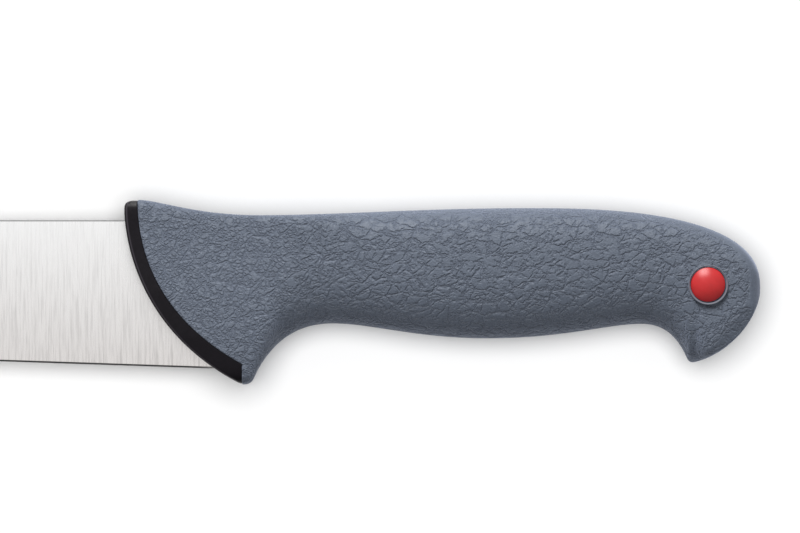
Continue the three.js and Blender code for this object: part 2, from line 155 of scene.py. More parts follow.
def linear(hex_colour):
    """An sRGB hex colour as linear red, green, blue and alpha."""
    shares = [int(hex_colour[i:i + 2], 16) / 255 for i in (1, 3, 5)]
    return [s / 12.92 if s <= 0.04045 else ((s + 0.055) / 1.055) ** 2.4 for s in shares] + [1.0]


def length(name, description, millimetres):
    """A length that a user can change, given here in millimetres."""
    return FloatProperty(
        name=name, description=description, default=millimetres * MM, unit="LENGTH", precision=5)


def share(name, description, default):
    """A plain number that a user can change."""
    return FloatProperty(name=name, description=description, default=default, precision=3)


def colour(name, description, hex_colour):
    """A colour that a user can change, given here as sRGB hex."""
    return FloatVectorProperty(
        name=name, description=description, default=linear(hex_colour),
        subtype="COLOR", size=4, min=0, max=1)


class BladeSizes(bpy.types.PropertyGroup):
    """Sizes of the blade and its tang."""

    length: length("Length", "From the tip to the collar's foremost point", 200)
    stock: length("Stock", "Thickness of the steel at the spine", 2.5)
    heel_depth: length("Heel depth", "From spine to edge at the collar's foot", 34.1)
    middle_depth: length("Middle depth", "From spine to edge where the belly starts", 30.5)
    belly_run: length("Belly run", "From the tip to where the edge is straight", 120)
    spine_fall_run: length("Spine fall run", "From the tip to where the spine is level", 80)
    tip_drop: length("Tip drop", "From the spine's level down to the tip", 7)
    tip_stock: length("Tip stock", "Thickness of the spine at the tip", 1.2)
    tip_blunt: length("Tip blunt", "Height of the tip's end", 0.3)
    edge_shoulder: length("Edge shoulder", "Thickness where the edge bevel starts", 0.3)
    edge_bevel: length("Edge bevel", "Height of the sharpened bevel", 0.9)
    edge_flat: length("Edge flat", "Thickness of the edge itself", 0.06)
    hone: length("Hone", "Height of the honed line along the edge", 0.36)
    swell: share("Swell", "How much of the grind is convex, from 0 to 1", 0.6)
    blunt_heel: length("Blunt heel", "Unsharpened edge in front of the collar", 4.4)
    spine_rounding: length("Spine rounding", "Radius that breaks the spine's corners", 0.4)
    heel_in_collar: length("Heel in collar", "How far the blade runs into the collar", 4)
    heel_wall: length("Heel wall", "Collar left behind the heel at its foot", 2)
    tang_cover: length("Tang cover", "Core above and below the tang at the neck", 3.6)
    tang_end: length("Tang end", "Height of the tang's far end", 9)
    tang_to_plug: length("Tang to plug", "From the tang's end to the plugs' axis", 13)
    tang_hole: length("Tang hole", "Radius of the holes that the core fills", 2.4)
    slot_gap: length("Slot gap", "Gap between the blade and the collar round it", 0.06)


class HandleSizes(bpy.types.PropertyGroup):
    """Sizes of the handle's outline and sections."""

    length: length("Length", "From the collar's foremost point to the butt", 145)
    collar_top: length("Collar top", "Height of the handle at the collar", 4.6)
    collar_top_run: length("Collar top run", "Level stretch on top of the collar", 3)
    dip_at: length("Thumb dip at", "Place of the thumb dip along the handle", 31)
    dip_top: length("Thumb dip height", "Height of the handle in the thumb dip", 1.1)
    crest_from_butt: length("Crest from butt", "From the highest point of the grip to the butt", 53)
    crest_top: length("Crest height", "Height of the grip's highest point", 2.7)
    butt_drop: length("Butt drop", "From the spine's level down to the butt's end", 16)
    guard_drop: length("Guard drop", "From the spine's level down to the guard's heel", 37.5)
    heel_sole: length("Heel sole", "Level stretch under the guard behind the collar", 0.6)
    heel_run: length("Heel corner run", "Length of the heel's rounded corner", 2.8)
    heel_rise: length("Heel corner rise", "Height of the heel's rounded corner", 2.9)
    neck_at: length("Neck at", "Place of the finger neck along the handle", 47.5)
    neck_drop: length("Neck drop", "From the spine's level down to the neck", 23.6)
    palm_drop: length("Palm drop", "From the spine's level down to the palm belly", 27)
    waist_from_butt: length("Waist from butt", "From the waist in front of the hook to the butt", 27)
    waist_drop: length("Waist drop", "From the spine's level down to the waist", 23.7)
    hook_from_butt: length("Hook from butt", "From the hook's tip to the butt", 15.2)
    hook_run: length("Hook run", "Length of the round rise behind the hook", 17)
    hook_drop: length("Hook drop", "From the spine's level down to the hook's tip", 32.7)
    hook_tip_run: length("Hook tip run", "Length of the hook's rounded tip", 1.4)
    hook_tip_rise: length("Hook tip rise", "Height of the hook's rounded tip", 0.8)
    guard_half: length("Guard half", "Half thickness at the guard", 9.4)
    neck_half: length("Neck half", "Half thickness at the neck", 8.8)
    palm_half: length("Palm half", "Half thickness at the palm", 10.5)
    butt_half: length("Butt half", "Half thickness at the butt", 9.2)
    butt_rounding: length("Butt rounding", "Length over which the butt rounds off", 9)
    butt_power: share("Butt squareness", "How squarely the butt rounds off, where 2 is an ellipse", 4.5)
    guard_taper: length("Guard taper", "How much thinner the guard is on top, on each side", 3)
    taper_drop: length("Taper drop", "From the spine's level down to where that taper starts", 28)
    guard_fade: length("Guard fade", "Run behind the heel over which the guard's sections give way", 15)
    guard_top_fade: length("Guard top fade", "The same above the widest line", 30)
    guard_lead: length("Guard lead", "How far before the heel they start to, below the widest line", 6)
    crown_drop: length("Crown drop", "From the spine's level down to the grip's widest line", 9.2)
    guard_power: share("Guard squareness", "How square the guard's sections are, where 2 is an ellipse", 14)
    grip_top_power: share("Grip top squareness", "The same above the grip's widest line", 3.3)
    grip_lower_power: share("Grip lower squareness", "The same below the grip's widest line", 2.3)
    hook_power: share("Hook squareness", "The same at the hook", 2)
    butt_top_power: share("Butt top squareness", "The same above the plugs", 4.5)
    butt_lower_power: share("Butt lower squareness", "The same behind the hook", 9)
    bevel_from_butt: length("Bevel from butt", "From the upper end of the butt's bevel to the butt", 5.2)
    bevel_drop: length("Bevel drop", "From the spine's level down to that end of the bevel", 21.2)
    bevel_sink: length("Bevel sink", "How far below the butt's side the bevel starts", 0.05)
    bevel_rounding: length("Bevel rounding", "How softly the bevel starts", 0.3)
    wall: length("Grip wall", "Thickness of the grip over the core", 3)
    core_gap: length("Core gap", "Gap between the grip and the core inside it", 0.3)
    lip: length("Grip lip", "Radius of the grip's edge beside the collar", 0.35)


class CollarSizes(bpy.types.PropertyGroup):
    """Sizes of the collar, the part of the core that shows."""

    inset: length("Inset", "How far the collar lies below the grip's surface", 0.2)
    corner: length("Top corner", "Size of the rounded corner at the collar's top", 2.1)
    top_width: length("Top width", "Place of the collar's back edge on top", 3)
    foot_at: length("Foot at", "Place of the collar's foot along the handle", 26.8)
    foot_height: length("Foot height", "Height of the square end at the foot", 4.65)
    rounding: length("Front rounding", "Radius of the collar's front edge", 0.8)
    back_rounding: length("Back rounding", "Radius of the collar's back edge", 0.2)
    groove: length("Groove", "Gap between the collar and the grip", 0.03)


class PlugSizes(bpy.types.PropertyGroup):
    """Sizes of the colour plugs and their seats."""

    from_butt: length("From butt", "From the plugs' axis to the butt", 12)
    drop: length("Drop", "From the spine's level down to the plugs' axis", 14.7)
    cap_radius: length("Cap radius", "Radius of a plug's cap", 3.92)
    cap_edge: length("Cap edge", "Height of the cap's straight edge", 0.1)
    dome_rise: length("Dome rise", "Height of the cap's dome", 1.25)
    shank_radius: length("Shank radius", "Radius of a plug's shank", 2.2)
    barb: length("Barb", "How far the barb stands out from the shank", 0.4)
    barb_slope: length("Barb slope", "Length of each of the barb's slopes", 0.8)
    slot_width: length("Slot width", "Width of the slot that lets the barb close", 0.8)
    slot_stop: length("Slot stop", "Shank left whole under the cap", 2.5)
    end_gap: length("End gap", "Gap between the ends of the two shanks", 3.8)
    seat_depth: length("Seat depth", "Depth of a seat below the grip's side", 0.6)
    seat_gap: length("Seat gap", "Gap round a plug's cap in its seat", 0.17)
    cap_lift: length("Cap lift", "Gap under a plug's cap", 0.3)
    bore_gap: length("Bore gap", "Gap round a plug's barb in the bore", 0.3)
    rim_width: length("Rim width", "Width of the raised rim round a seat", 0.4)
    rim_rise: length("Rim rise", "Height of the rim above the grip's side", 0.5)
    seat_shift: length("Seat shift", "How far a seat lies off its plug's axis, back and down", 0.1)
    rim_lean: share("Rim lean", "How fast the rim gets higher downwards", 0.1)


class GrainSizes(bpy.types.PropertyGroup):
    """Sizes of the leather-like grain that the mould leaves on the grip."""

    crease_cell: length("Crease cell", "Distance between the long creases", 2.6)
    crease_width: length("Crease width", "Width of a long crease", 0.5)
    wrinkle_cell: length("Wrinkle cell", "Distance between the short wrinkles", 0.85)
    wrinkle_width: length("Wrinkle width", "Width of a short wrinkle", 0.37)
    wrinkle_share: share("Wrinkle share", "How deep a wrinkle is against a long crease", 0.75)
    level_stretch: share("Level stretch", "How much longer than wide the lands between level creases are", 2)
    slant_stretch: share("Slant stretch", "The same between slanting creases", 2.2)
    pebble: length("Pebble", "Size of the fine pebbling", 0.36)
    pebble_share: share("Pebble share", "How high the pebbling is against a long crease's depth", 0.4)
    bend: length("Bend", "Size of the bends along a crease", 1.1)
    bend_reach: length("Bend reach", "How far a bend moves a crease aside", 1.6)
    slant_bend: length("Slant bend", "The same for a slanting crease and a wrinkle", 0.8)
    patch: length("Patch", "Size of the patches with more and fewer creases", 2)
    fine_until: length("Fine until", "Place along the handle up to which wrinkles are everywhere", 28)
    coarse_from: length("Coarse from", "Place along the handle from which they are few", 66)
    smooth_butt: length("Smooth butt", "Length of the butt's end whose rounding is left smooth", 16)
    relief: length("Relief", "Depth of a crease", 0.34)
    depth: length("Depth", "Depth of the soft valleys along the creases in the mesh", 0.03)
    valley: share("Valley", "How much wider than its crease a valley is", 1.2)


class KnifeColours(bpy.types.PropertyGroup):
    """Colours of the finishes, with painted highlights and painted shade among them."""

    steel: colour("Steel", "Brushed stainless steel at the spine", "#FCFCFC")
    # Painted shade: the steel is painted darker from the spine down to the edge.
    steel_painted_shade_at_edge: colour("Steel at edge", "Brushed stainless steel down at the edge", "#E9E5E3")
    # Painted shade: the dull spine and edge are painted this darker grey, which draws dark lines along them;
    # their roughness is real.
    steel_dull_painted_shade: colour("Dull steel", "Stainless steel left dull on the spine and the edge", "#6A6A6A")
    core: colour("Core", "Black polypropylene", "#0F0C11")
    # Painted highlight: the paler colour painted along the collar's front edge.
    core_painted_highlight: colour("Worn core", "Black polypropylene rubbed along the collar's front", "#48444A")
    grip: colour("Grip", "Blue-grey polypropylene", "#59616E")
    # Painted highlight: the paler colour painted on the rims round the plugs.
    grip_painted_highlight: colour("Worn grip", "Blue-grey polypropylene rubbed on the rims round the plugs", "#666C74")
    # Painted highlight: creases are painted a little paler than the lands.
    crease: colour("Crease", "Blue-grey polypropylene down in a crease", "#5C6472")
    sheen: colour("Sheen", "What the grip's rounded edges catch", "#D6E2FF")
    plug: colour("Plug", "Red ABS", "#C02C2E")
    floor: colour("Floor", "Pale floor", "#F2F2F2")
    bounce: colour("Bounce", "What the floor throws back on to the knife", "#9CA2AE")


class StageSizes(bpy.types.PropertyGroup):
    """Where the camera looks, and what lights the knife."""

    view_u: length("View along", "Place along the handle at the middle of the picture", 62.86)
    view_v: length("View height", "Height at the middle of the picture", -10.61)
    view_width: length("View width", "Width of the picture at the blade's middle plane", 182.54)
    lens: share("Lens", "Focal length of the camera in millimetres", 1000)
    fill: share("Fill", "Strength of the even light from all round", 0.33)
    backdrop_edge: share(
        "Backdrop edge", "What gloss sees overhead on the edge's side, where white is 1", 0.45)
    backdrop_dark: share("Backdrop dark", "The same low down on the edge's side", 0.42)
    backdrop_low: share("Backdrop low", "The same low down on the spine's side", 0.75)
    backdrop_ends: share("Backdrop ends", "The same overhead, towards the tip and the butt", 0.45)
    key_power: share("Key power", "Power of the key light in watts", 3.5)
    key_size: length("Key size", "Width and height of the key light", 270)
    floor_power: share("Floor power", "Strength of the overhead light on the floor", 2.75)
    floor_softness: FloatProperty(
        name="Floor softness", description="Width of the overhead light, as an angle",
        default=math.radians(40), subtype="ANGLE")


class KnifeSettings(bpy.types.PropertyGroup):
    """Everything about the knife that a user can change."""

    blade: PointerProperty(type=BladeSizes)
    handle: PointerProperty(type=HandleSizes)
    collar: PointerProperty(type=CollarSizes)
    plug: PointerProperty(type=PlugSizes)
    grain: PointerProperty(type=GrainSizes)
    colours: PointerProperty(type=KnifeColours)
    stage: PointerProperty(type=StageSizes)


# Lines and sections

def round_off(part, power):
    """What is left of a superellipse's half height at a share of its half width."""
    return (1 - np.clip(part, 0, 1) ** power) ** (1 / power)


def ease(part):
    """A share from 0 to 1 that starts and stops gently."""
    kept = np.clip(part, 0, 1)
    return kept * kept * (3 - 2 * kept)


class Line:
    """A line in the side view, drawn from one end to the other in straight and curved stretches."""

    def __init__(self, u, v):
        self.points = np.array([[u, v]], float)

    def straight(self, u, v):
        """Adds a straight stretch."""
        self.points = np.vstack([self.points, [u, v]])
        return self

    def sweep(self, u, v, leave, arrive):
        """Adds a curve with both handles given as shares of its run and its rise."""
        start, end = self.points[-1], np.array([u, v])
        first, second = start + leave * (end - start), start + arrive * (end - start)
        t = np.linspace(0, 1, CURVE_STEPS + 1)[1:, None]
        s = 1 - t
        curve = s ** 3 * start + 3 * t * s ** 2 * first + 3 * t ** 2 * s * second + t ** 3 * end
        self.points = np.vstack([self.points, curve])
        return self

    def swell(self, u, v, leave, arrive):
        """Adds a curve that leaves and arrives level, with its handles as shares of its run."""
        return self.sweep(u, v, np.array([leave, 0]), np.array([1 - arrive, 1]))

    def height(self, u):
        """The line's v at any u, for a line drawn from front to back."""
        return np.interp(u, self.points[:, 0], self.points[:, 1])

    def reach(self, v):
        """The line's u at any v, for a line drawn downwards."""
        return np.interp(-np.asarray(v), -self.points[:, 1], self.points[:, 0])


def pair(along, across):
    """A curve handle, as shares of the curve's run and its rise."""
    return np.array([along, across])


class HandleForm:
    """The handle's outline, thickness and sections, worked out from its sizes."""

    def __init__(self, knife):
        self.size = knife.handle
        self.collar = knife.collar
        size = self.size
        self.length = size.length
        self.heel_tip = knife.collar.foot_at + size.heel_sole
        self.waist_at = size.length - size.waist_from_butt
        self.palm_at = (size.neck_at + self.waist_at) / 2
        self.crest_at = size.length - size.crest_from_butt
        self.hook_tip = size.length - size.hook_from_butt
        self.plug_at = size.length - knife.plug.from_butt
        self.plateau_from = self.plug_at + knife.plug.cap_radius * 3 / 4
        self.top_line = Line(0, size.collar_top).straight(size.collar_top_run, size.collar_top)
        self.top_line.swell(size.dip_at, size.dip_top, 0.18, 0.54)
        self.top_line.swell(self.crest_at, size.crest_top, 0.29, 0.41)
        self.lower_line = self.draw_lower_line()
        self.half_line = Line(0, size.guard_half).straight(self.heel_tip, size.guard_half)
        self.half_line.swell(size.neck_at, size.neck_half, 0.4, 0.4)
        self.half_line.swell(self.palm_at, size.palm_half, 0.4, 0.4)
        self.half_line.swell(self.plug_at - knife.plug.cap_radius, size.butt_half, 0.4, 0.4)
        self.half_line.straight(size.length, size.butt_half)

    def draw_lower_line(self):
        """The lower line from the guard's heel to the hook's tip."""
        size = self.size
        heel_back = self.heel_tip + size.heel_run
        tip_height = float(self.lower_rear(self.hook_tip))
        line = Line(0, -size.guard_drop).straight(self.heel_tip, -size.guard_drop)
        line.sweep(heel_back, size.heel_rise - size.guard_drop, pair(0.71, 0), pair(0.79, 0.59))
        line.sweep(size.neck_at, -size.neck_drop, pair(0.19, 0.55), pair(0.48, 1))
        line.swell(self.palm_at, -size.palm_drop, 0.25, 0.46)
        line.swell(self.waist_at, -size.waist_drop, 0.5, 0.22)
        before_tip = self.hook_tip - size.hook_tip_run
        line.sweep(before_tip, tip_height + size.hook_tip_rise, pair(0.56, 0), pair(0.83, 0.48))
        return line.sweep(self.hook_tip, tip_height, pair(0.2, 0.75), pair(0.5, 1))

    def lower_rear(self, u):
        """The round rise from the hook to the butt."""
        size = self.size
        part = (u - (size.length - size.hook_run)) / size.hook_run
        return (size.butt_drop - size.hook_drop) * round_off(part, HOOK_RISE_POWER) - size.butt_drop

    def top(self, u):
        """The handle's top at any u: collar, thumb dip, crest, and a round fall to the butt."""
        size = self.size
        part = (u - self.crest_at) / size.crest_from_butt
        rear = (size.crest_top + size.butt_drop) * round_off(part, CREST_POWER) - size.butt_drop
        return np.where(u <= self.crest_at, self.top_line.height(u), rear)

    def lower(self, u):
        """The handle's lower side at any u: heel, neck, palm belly, waist, hook and the rise to the butt."""
        return np.where(u <= self.hook_tip, self.lower_line.height(u), self.lower_rear(u))

    def half(self, u):
        """Half the handle's thickness at any u, rounded off at the butt."""
        rounding = self.size.butt_rounding
        past = (u - self.length + rounding) / rounding
        return self.half_line.height(u) * round_off(past, self.size.butt_power)

    def inset(self, height, u, wall, side):
        """A line's height with a wall's thickness taken off, as a ball rolling along it would leave it."""
        if wall <= 0:
            return float(height(np.float64(u)))
        along = np.linspace(-wall, wall, BALL_STEPS)
        bulge = np.sqrt(np.maximum(wall ** 2 - along ** 2, 0))
        return float(side * np.max(side * height(u + along) + bulge))

    def bevelled(self, u, v, z, wall):
        """Half thicknesses cut back by the bevel across the butt's lower corner."""
        size = self.size
        beyond_u, beyond_v = u - self.length + size.bevel_from_butt, v + size.bevel_drop
        beyond = beyond_u * math.cos(BEVEL_HEADING) + beyond_v * math.sin(BEVEL_HEADING)
        bevel = size.butt_half - size.bevel_sink - wall - beyond * math.tan(BEVEL_TILT)
        both = np.clip(0.5 + (bevel - z) / size.bevel_rounding / 2, 0, 1)
        return np.maximum(bevel + (z - bevel) * both - size.bevel_rounding * both * (1 - both), 0)

    def half_section(self, u, wall, count):
        """Evenly spaced points, as v and z, down one side of the section at u."""
        size = self.size
        behind_heel = ease((u - self.heel_tip) / size.guard_fade)
        top_fade = ease((u - self.heel_tip) / size.guard_top_fade)
        lower_fade = ease((u - self.heel_tip + size.guard_lead) / size.guard_fade)
        at_hook = ease((u - self.waist_at) / (self.plug_at - self.waist_at))
        top_power = size.guard_power + (size.grip_top_power - size.guard_power) * top_fade
        top_power += (size.butt_top_power - top_power) * at_hook
        grip_power = size.guard_power + (size.grip_lower_power - size.guard_power) * lower_fade
        after_hook = ease((u - self.hook_tip) / (self.plateau_from - self.hook_tip))
        rear_power = size.hook_power + (size.butt_lower_power - size.hook_power) * after_hook
        lower_power = grip_power + (rear_power - grip_power) * at_hook
        top, lower = self.inset(self.top, u, wall, -1), self.inset(self.lower, u, wall, 1)
        middle = (top + lower) / 2
        crown = middle - (size.crown_drop + middle) * behind_heel * (1 - at_hook)
        turn = np.linspace(0, np.pi, SECTION_STEPS)
        above = turn < np.pi / 2
        squareness = 2 / np.where(above, top_power, lower_power)
        out = np.abs(np.sin(turn)) ** squareness
        out[[0, -1]] = 0
        v = crown + np.where(above, top - crown, lower - crown) * np.abs(np.cos(turn)) ** squareness
        tapered = size.guard_taper * ease((v + size.taper_drop) / (size.taper_drop + size.collar_top))
        z = (self.inset(self.half, u, wall, -1) - tapered * (1 - behind_heel)) * out
        z = self.bevelled(u, v, z, wall)
        gone = np.concatenate([[0], np.cumsum(np.hypot(np.diff(v), np.diff(z)))])
        even = np.linspace(0, gone[-1], count + 1)
        return np.column_stack([np.interp(even, gone, v), np.interp(even, gone, z)])

    def skin(self, wall, sides, shares, start, end):
        """Rings of the handle's surface, a wall's thickness inside it, between two lines in the side view.

        start and end give u at any v, and shares says how far along from one to the other each ring lies.
        """
        last = self.length - wall - BUTT_CAP
        stations = last * np.sin(np.linspace(0, np.pi / 2, STATIONS))
        table = np.array([self.half_section(u, wall, sides // 2) for u in stations])
        columns = []
        for column in range(sides // 2 + 1):
            v_table, z_table = table[:, column, 0], table[:, column, 1]
            ends = []
            for line in (start, end):
                u = 0.0
                for _ in range(SEARCH_ROUNDS):
                    u = 0.5 * u + 0.5 * min(float(line(np.interp(u, stations, v_table))), last)
                ends.append(u)
            u = ends[0] + np.asarray(shares) * (ends[1] - ends[0])
            columns.append(np.column_stack([
                u, np.interp(u, stations, v_table), np.interp(u, stations, z_table)]))
        near = np.array(columns)
        far = near[-2:0:-1] * (1, 1, -1)
        return np.concatenate([near, far]).transpose(1, 0, 2)

    def inner_skin(self, wall, start):
        """A coarser skin from a line to the butt, for shapes that the grip hides."""
        shares = np.sin(np.linspace(0, np.pi / 2, CORE_ROWS))
        return self.skin(wall, CORE_SIDES, shares, start, lambda v: self.length)

    def collar_front(self):
        """The collar's front line, from its rounded top corner down to the guard's foot."""
        collar, size = self.collar, self.size
        line = Line(collar.corner, size.collar_top)
        line.sweep(0, size.collar_top - collar.corner, pair(2 / 3, 0), pair(1, 1 / 3))
        return line.sweep(collar.foot_at, -size.guard_drop, pair(0, 0.07), pair(0.03, 0.671))

    def collar_back(self):
        """The line where the collar ends and the grip begins."""
        collar, size = self.collar, self.size
        line = Line(collar.top_width, size.collar_top)
        line.sweep(collar.foot_at, collar.foot_height - size.guard_drop, pair(0, 0.457), pair(0.397, 0.792))
        return line.straight(collar.foot_at, -size.guard_drop - BEYOND)


# Meshes

def side_faces(rings, sides):
    """Faces between rings of points that follow each other in a list."""
    faces = []
    for i in range(rings - 1):
        for j in range(sides):
            a = i * sides + j
            b = i * sides + (j + 1) % sides
            faces.append((a, b, b + sides, a + sides))
    return faces


def rung_faces(first, sides, forward):
    """Faces across a ring that is the same on both sides of the blade's middle plane."""
    faces = []
    for j in range(sides // 2):
        rung = [j + 1, j, (sides - j) % sides, sides - j - 1]
        corners = [first + k for k in dict.fromkeys(rung)]
        faces.append(tuple(corners if forward else reversed(corners)))
    return faces


def fan_faces(first, sides, centre, forward):
    """Faces from a ring to a point in its middle."""
    faces = []
    for j in range(sides):
        a, b = first + j, first + (j + 1) % sides
        faces.append((centre, b, a) if forward else (centre, a, b))
    return faces


def new_object(name, data):
    """An object in the scene, from its mesh, light or camera."""
    item = bpy.data.objects.new(name, data)
    bpy.context.scene.collection.objects.link(item)
    return item


def new_piece(name, points, faces):
    """A mesh object with its place in its mesh, from points in the knife's own coordinates."""
    mesh = bpy.data.meshes.new(name)
    mesh.from_pydata((np.asarray(points) + ORIGIN).tolist(), [], faces)
    return new_object(name, mesh)


def loft(name, rings, front_rungs=False, back_rungs=False):
    """A closed surface over rings of points, with a fan over each end or rungs across it."""
    rings = np.asarray(rings, float)
    count, sides = rings.shape[:2]
    points = [*rings.reshape(-1, 3)]
    faces = side_faces(count, sides)
    for ring, rungs, forward in ((0, front_rungs, True), (count - 1, back_rungs, False)):
        if rungs:
            faces += rung_faces(ring * sides, sides, forward)
        else:
            faces += fan_faces(ring * sides, sides, len(points), forward)
            points.append(rings[ring].mean(0))
    return new_piece(name, points, faces)


def plate(name, outline, thickness):
    """A flat outline in the side view given a thickness, centred on the blade's middle plane."""
    outline = np.asarray(outline, float)
    u, v = outline.T
    if np.sum(u * np.roll(v, -1) - np.roll(u, -1) * v) < 0:
        outline = outline[::-1]
    count = len(outline)
    levels = [np.column_stack([outline, np.full(count, z)]) for z in (-thickness / 2, thickness / 2)]
    faces = side_faces(2, count)
    faces += [tuple(range(count - 1, -1, -1)), tuple(range(count, 2 * count))]
    return new_piece(name, np.vstack(levels), faces)


def turned(name, profile, u, v, side, lean=0):
    """A closed turned shape at u and v, from radii and heights out of the blade's middle plane. With a lean
    it gets higher downwards."""
    turn = np.linspace(0, 2 * np.pi, ROUND_SIDES, endpoint=False)
    back, up = np.cos(turn), side * np.sin(turn)
    rings = [np.column_stack([r * back, r * up, side * (z - lean * r * up)]) for r, z in profile]
    return loft(name, np.array(rings) + (u, v, 0))


def settle(piece):
    """Turns a piece with its modifiers into a plain mesh."""
    graph = bpy.context.evaluated_depsgraph_get()
    mesh = bpy.data.meshes.new_from_object(
        piece.evaluated_get(graph), preserve_all_data_layers=True, depsgraph=graph)
    old = piece.data
    piece.modifiers.clear()
    piece.data = mesh
    mesh.name = piece.name
    bpy.data.meshes.remove(old)


def combine(piece, tool, operation):
    """Joins a tool to a piece or cuts it out of the piece, and removes the tool."""
    modifier = piece.modifiers.new("combine", "BOOLEAN")
    modifier.operation = operation
    modifier.solver = "MANIFOLD"
    modifier.object = tool
    settle(piece)
    bpy.data.objects.remove(tool)
    if len(piece.data.polygons) == 0:
        raise RuntimeError(f"{piece.name} was lost when it was joined or cut")


def mark(piece, name, values, sides):
    """Stores a number on each ring of a piece's points, and 0 on the points after the last ring."""
    every = np.zeros(len(piece.data.vertices))
    every[:len(values) * sides] = np.repeat(values, sides)
    piece.data.attributes.new(name, "FLOAT", "POINT").data.foreach_set("value", every)


def flat_map(piece, name):
    """Gives a piece a UV map that is its side view in metres, which says which way a brushed finish runs."""
    mesh = piece.data
    places = np.empty(3 * len(mesh.vertices))
    mesh.vertices.foreach_get("co", places)
    corners = np.empty(len(mesh.loops), int)
    mesh.loops.foreach_get("vertex_index", corners)
    mesh.uv_layers.new(name=name).data.foreach_set("uv", places.reshape(-1, 3)[corners, :2].ravel())


def dress(piece, body, node, slot, material):
    """Gives a finished piece its material and smooth shading, and puts it on its body in a node's place."""
    mesh = piece.data
    mesh.materials.clear()
    mesh.materials.append(material)
    mesh.shade_smooth()
    mesh.set_sharp_from_angle(angle=math.radians(CRISP[slot]))
    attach(piece, body)
    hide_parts(node)


def lip(edge, line, radius, back):
    """Rings that round a skin's edge inwards until it lies square to a line in the side view."""
    along = np.roll(edge, -1, axis=0) - np.roll(edge, 1, axis=0)
    outward = np.column_stack([along[:, 2], -along[:, 1]])
    outward /= np.maximum(np.linalg.norm(outward, axis=1), ALMOST_NONE)[:, None]
    side = 1 if back else -1
    rings = []
    for angle in np.linspace(0, np.pi / 2, LIP_STEPS + 1)[1:]:
        inward = radius * (1 - np.cos(angle))
        v = edge[:, 1] - outward[:, 0] * inward
        z = edge[:, 2] - outward[:, 1] * inward
        u = line(v) - side * radius * (1 - np.sin(angle))
        rings.append(np.column_stack([u, v, z]))
    return np.array(rings)


# Materials

def add_node(tree, kind, inputs=None, **settings):
    """Adds one node with its settings, and fills or links its inputs."""
    node = tree.nodes.new(kind)
    for key, value in settings.items():
        setattr(node, key, value)
    for key, value in (inputs or {}).items():
        if isinstance(value, bpy.types.NodeSocket):
            tree.links.new(value, node.inputs[key])
        else:
            node.inputs[key].default_value = value
    return node


def maths(tree, operation, *values):
    """One step of arithmetic with numbers."""
    return add_node(tree, "ShaderNodeMath", dict(enumerate(values)), operation=operation).outputs[0]


def vector_maths(tree, operation, *values):
    """One step of arithmetic with vectors or colours."""
    return add_node(tree, "ShaderNodeVectorMath", dict(enumerate(values)), operation=operation).outputs[0]


def separate(tree, vector):
    """The three parts of a vector or a colour."""
    return add_node(tree, "ShaderNodeSeparateXYZ", {0: vector}).outputs


def remap(tree, value, low, high, to_low=0, to_high=1, smooth=False):
    """A value brought from one range to another, and kept inside it."""
    return add_node(tree, "ShaderNodeMapRange", {
        "Value": value, "From Min": low, "From Max": high, "To Min": to_low, "To Max": to_high},
        interpolation_type="SMOOTHSTEP" if smooth else "LINEAR").outputs[0]


def blend(tree, part, first, second):
    """Two numbers mixed, where part says how much of it is the second."""
    return add_node(tree, "ShaderNodeMix", {0: part, 2: first, 3: second}).outputs[0]


def blend_colours(tree, part, first, second):
    """The same for two colours."""
    return add_node(tree, "ShaderNodeMix", {0: part, 6: first, 7: second}, data_type="RGBA").outputs[2]


def per_metre(size):
    """A pattern's scale, from the real size of what repeats in it."""
    return 1 / size


def noise(tree, place, size, detail, output="Fac", roughness=0.5):
    """Cloudy noise, from the real size of its clouds."""
    return add_node(tree, "ShaderNodeTexNoise", {
        "Vector": place, "Scale": per_metre(size), "Detail": detail, "Roughness": roughness}).outputs[output]


def vary(tree, cloud, low, high):
    """Noise brought to another range."""
    return remap(tree, cloud, *NOISE_RANGE, low, high)


def bump(tree, height, strength, distance, invert=False):
    """A normal that is tilted by relief of a real height."""
    return add_node(tree, "ShaderNodeBump", {
        "Height": height, "Strength": strength, "Distance": distance}, invert=invert).outputs[0]


def attribute(tree, name):
    """A number that is stored on the mesh."""
    return add_node(tree, "ShaderNodeAttribute", attribute_name=name).outputs["Fac"]


def object_place(tree):
    """Places on the object, in metres."""
    return add_node(tree, "ShaderNodeTexCoord").outputs["Object"]


def new_material(name):
    """An empty node material, with its tree."""
    material = bpy.data.materials.new(name)
    material.use_nodes = True
    material.node_tree.nodes.clear()
    return material, material.node_tree


def surface(material, kind, inputs):
    """A material finished with its shader."""
    shader = add_node(material.node_tree, kind, inputs).outputs[0]
    add_node(material.node_tree, "ShaderNodeOutputMaterial", {"Surface": shader})
    return material


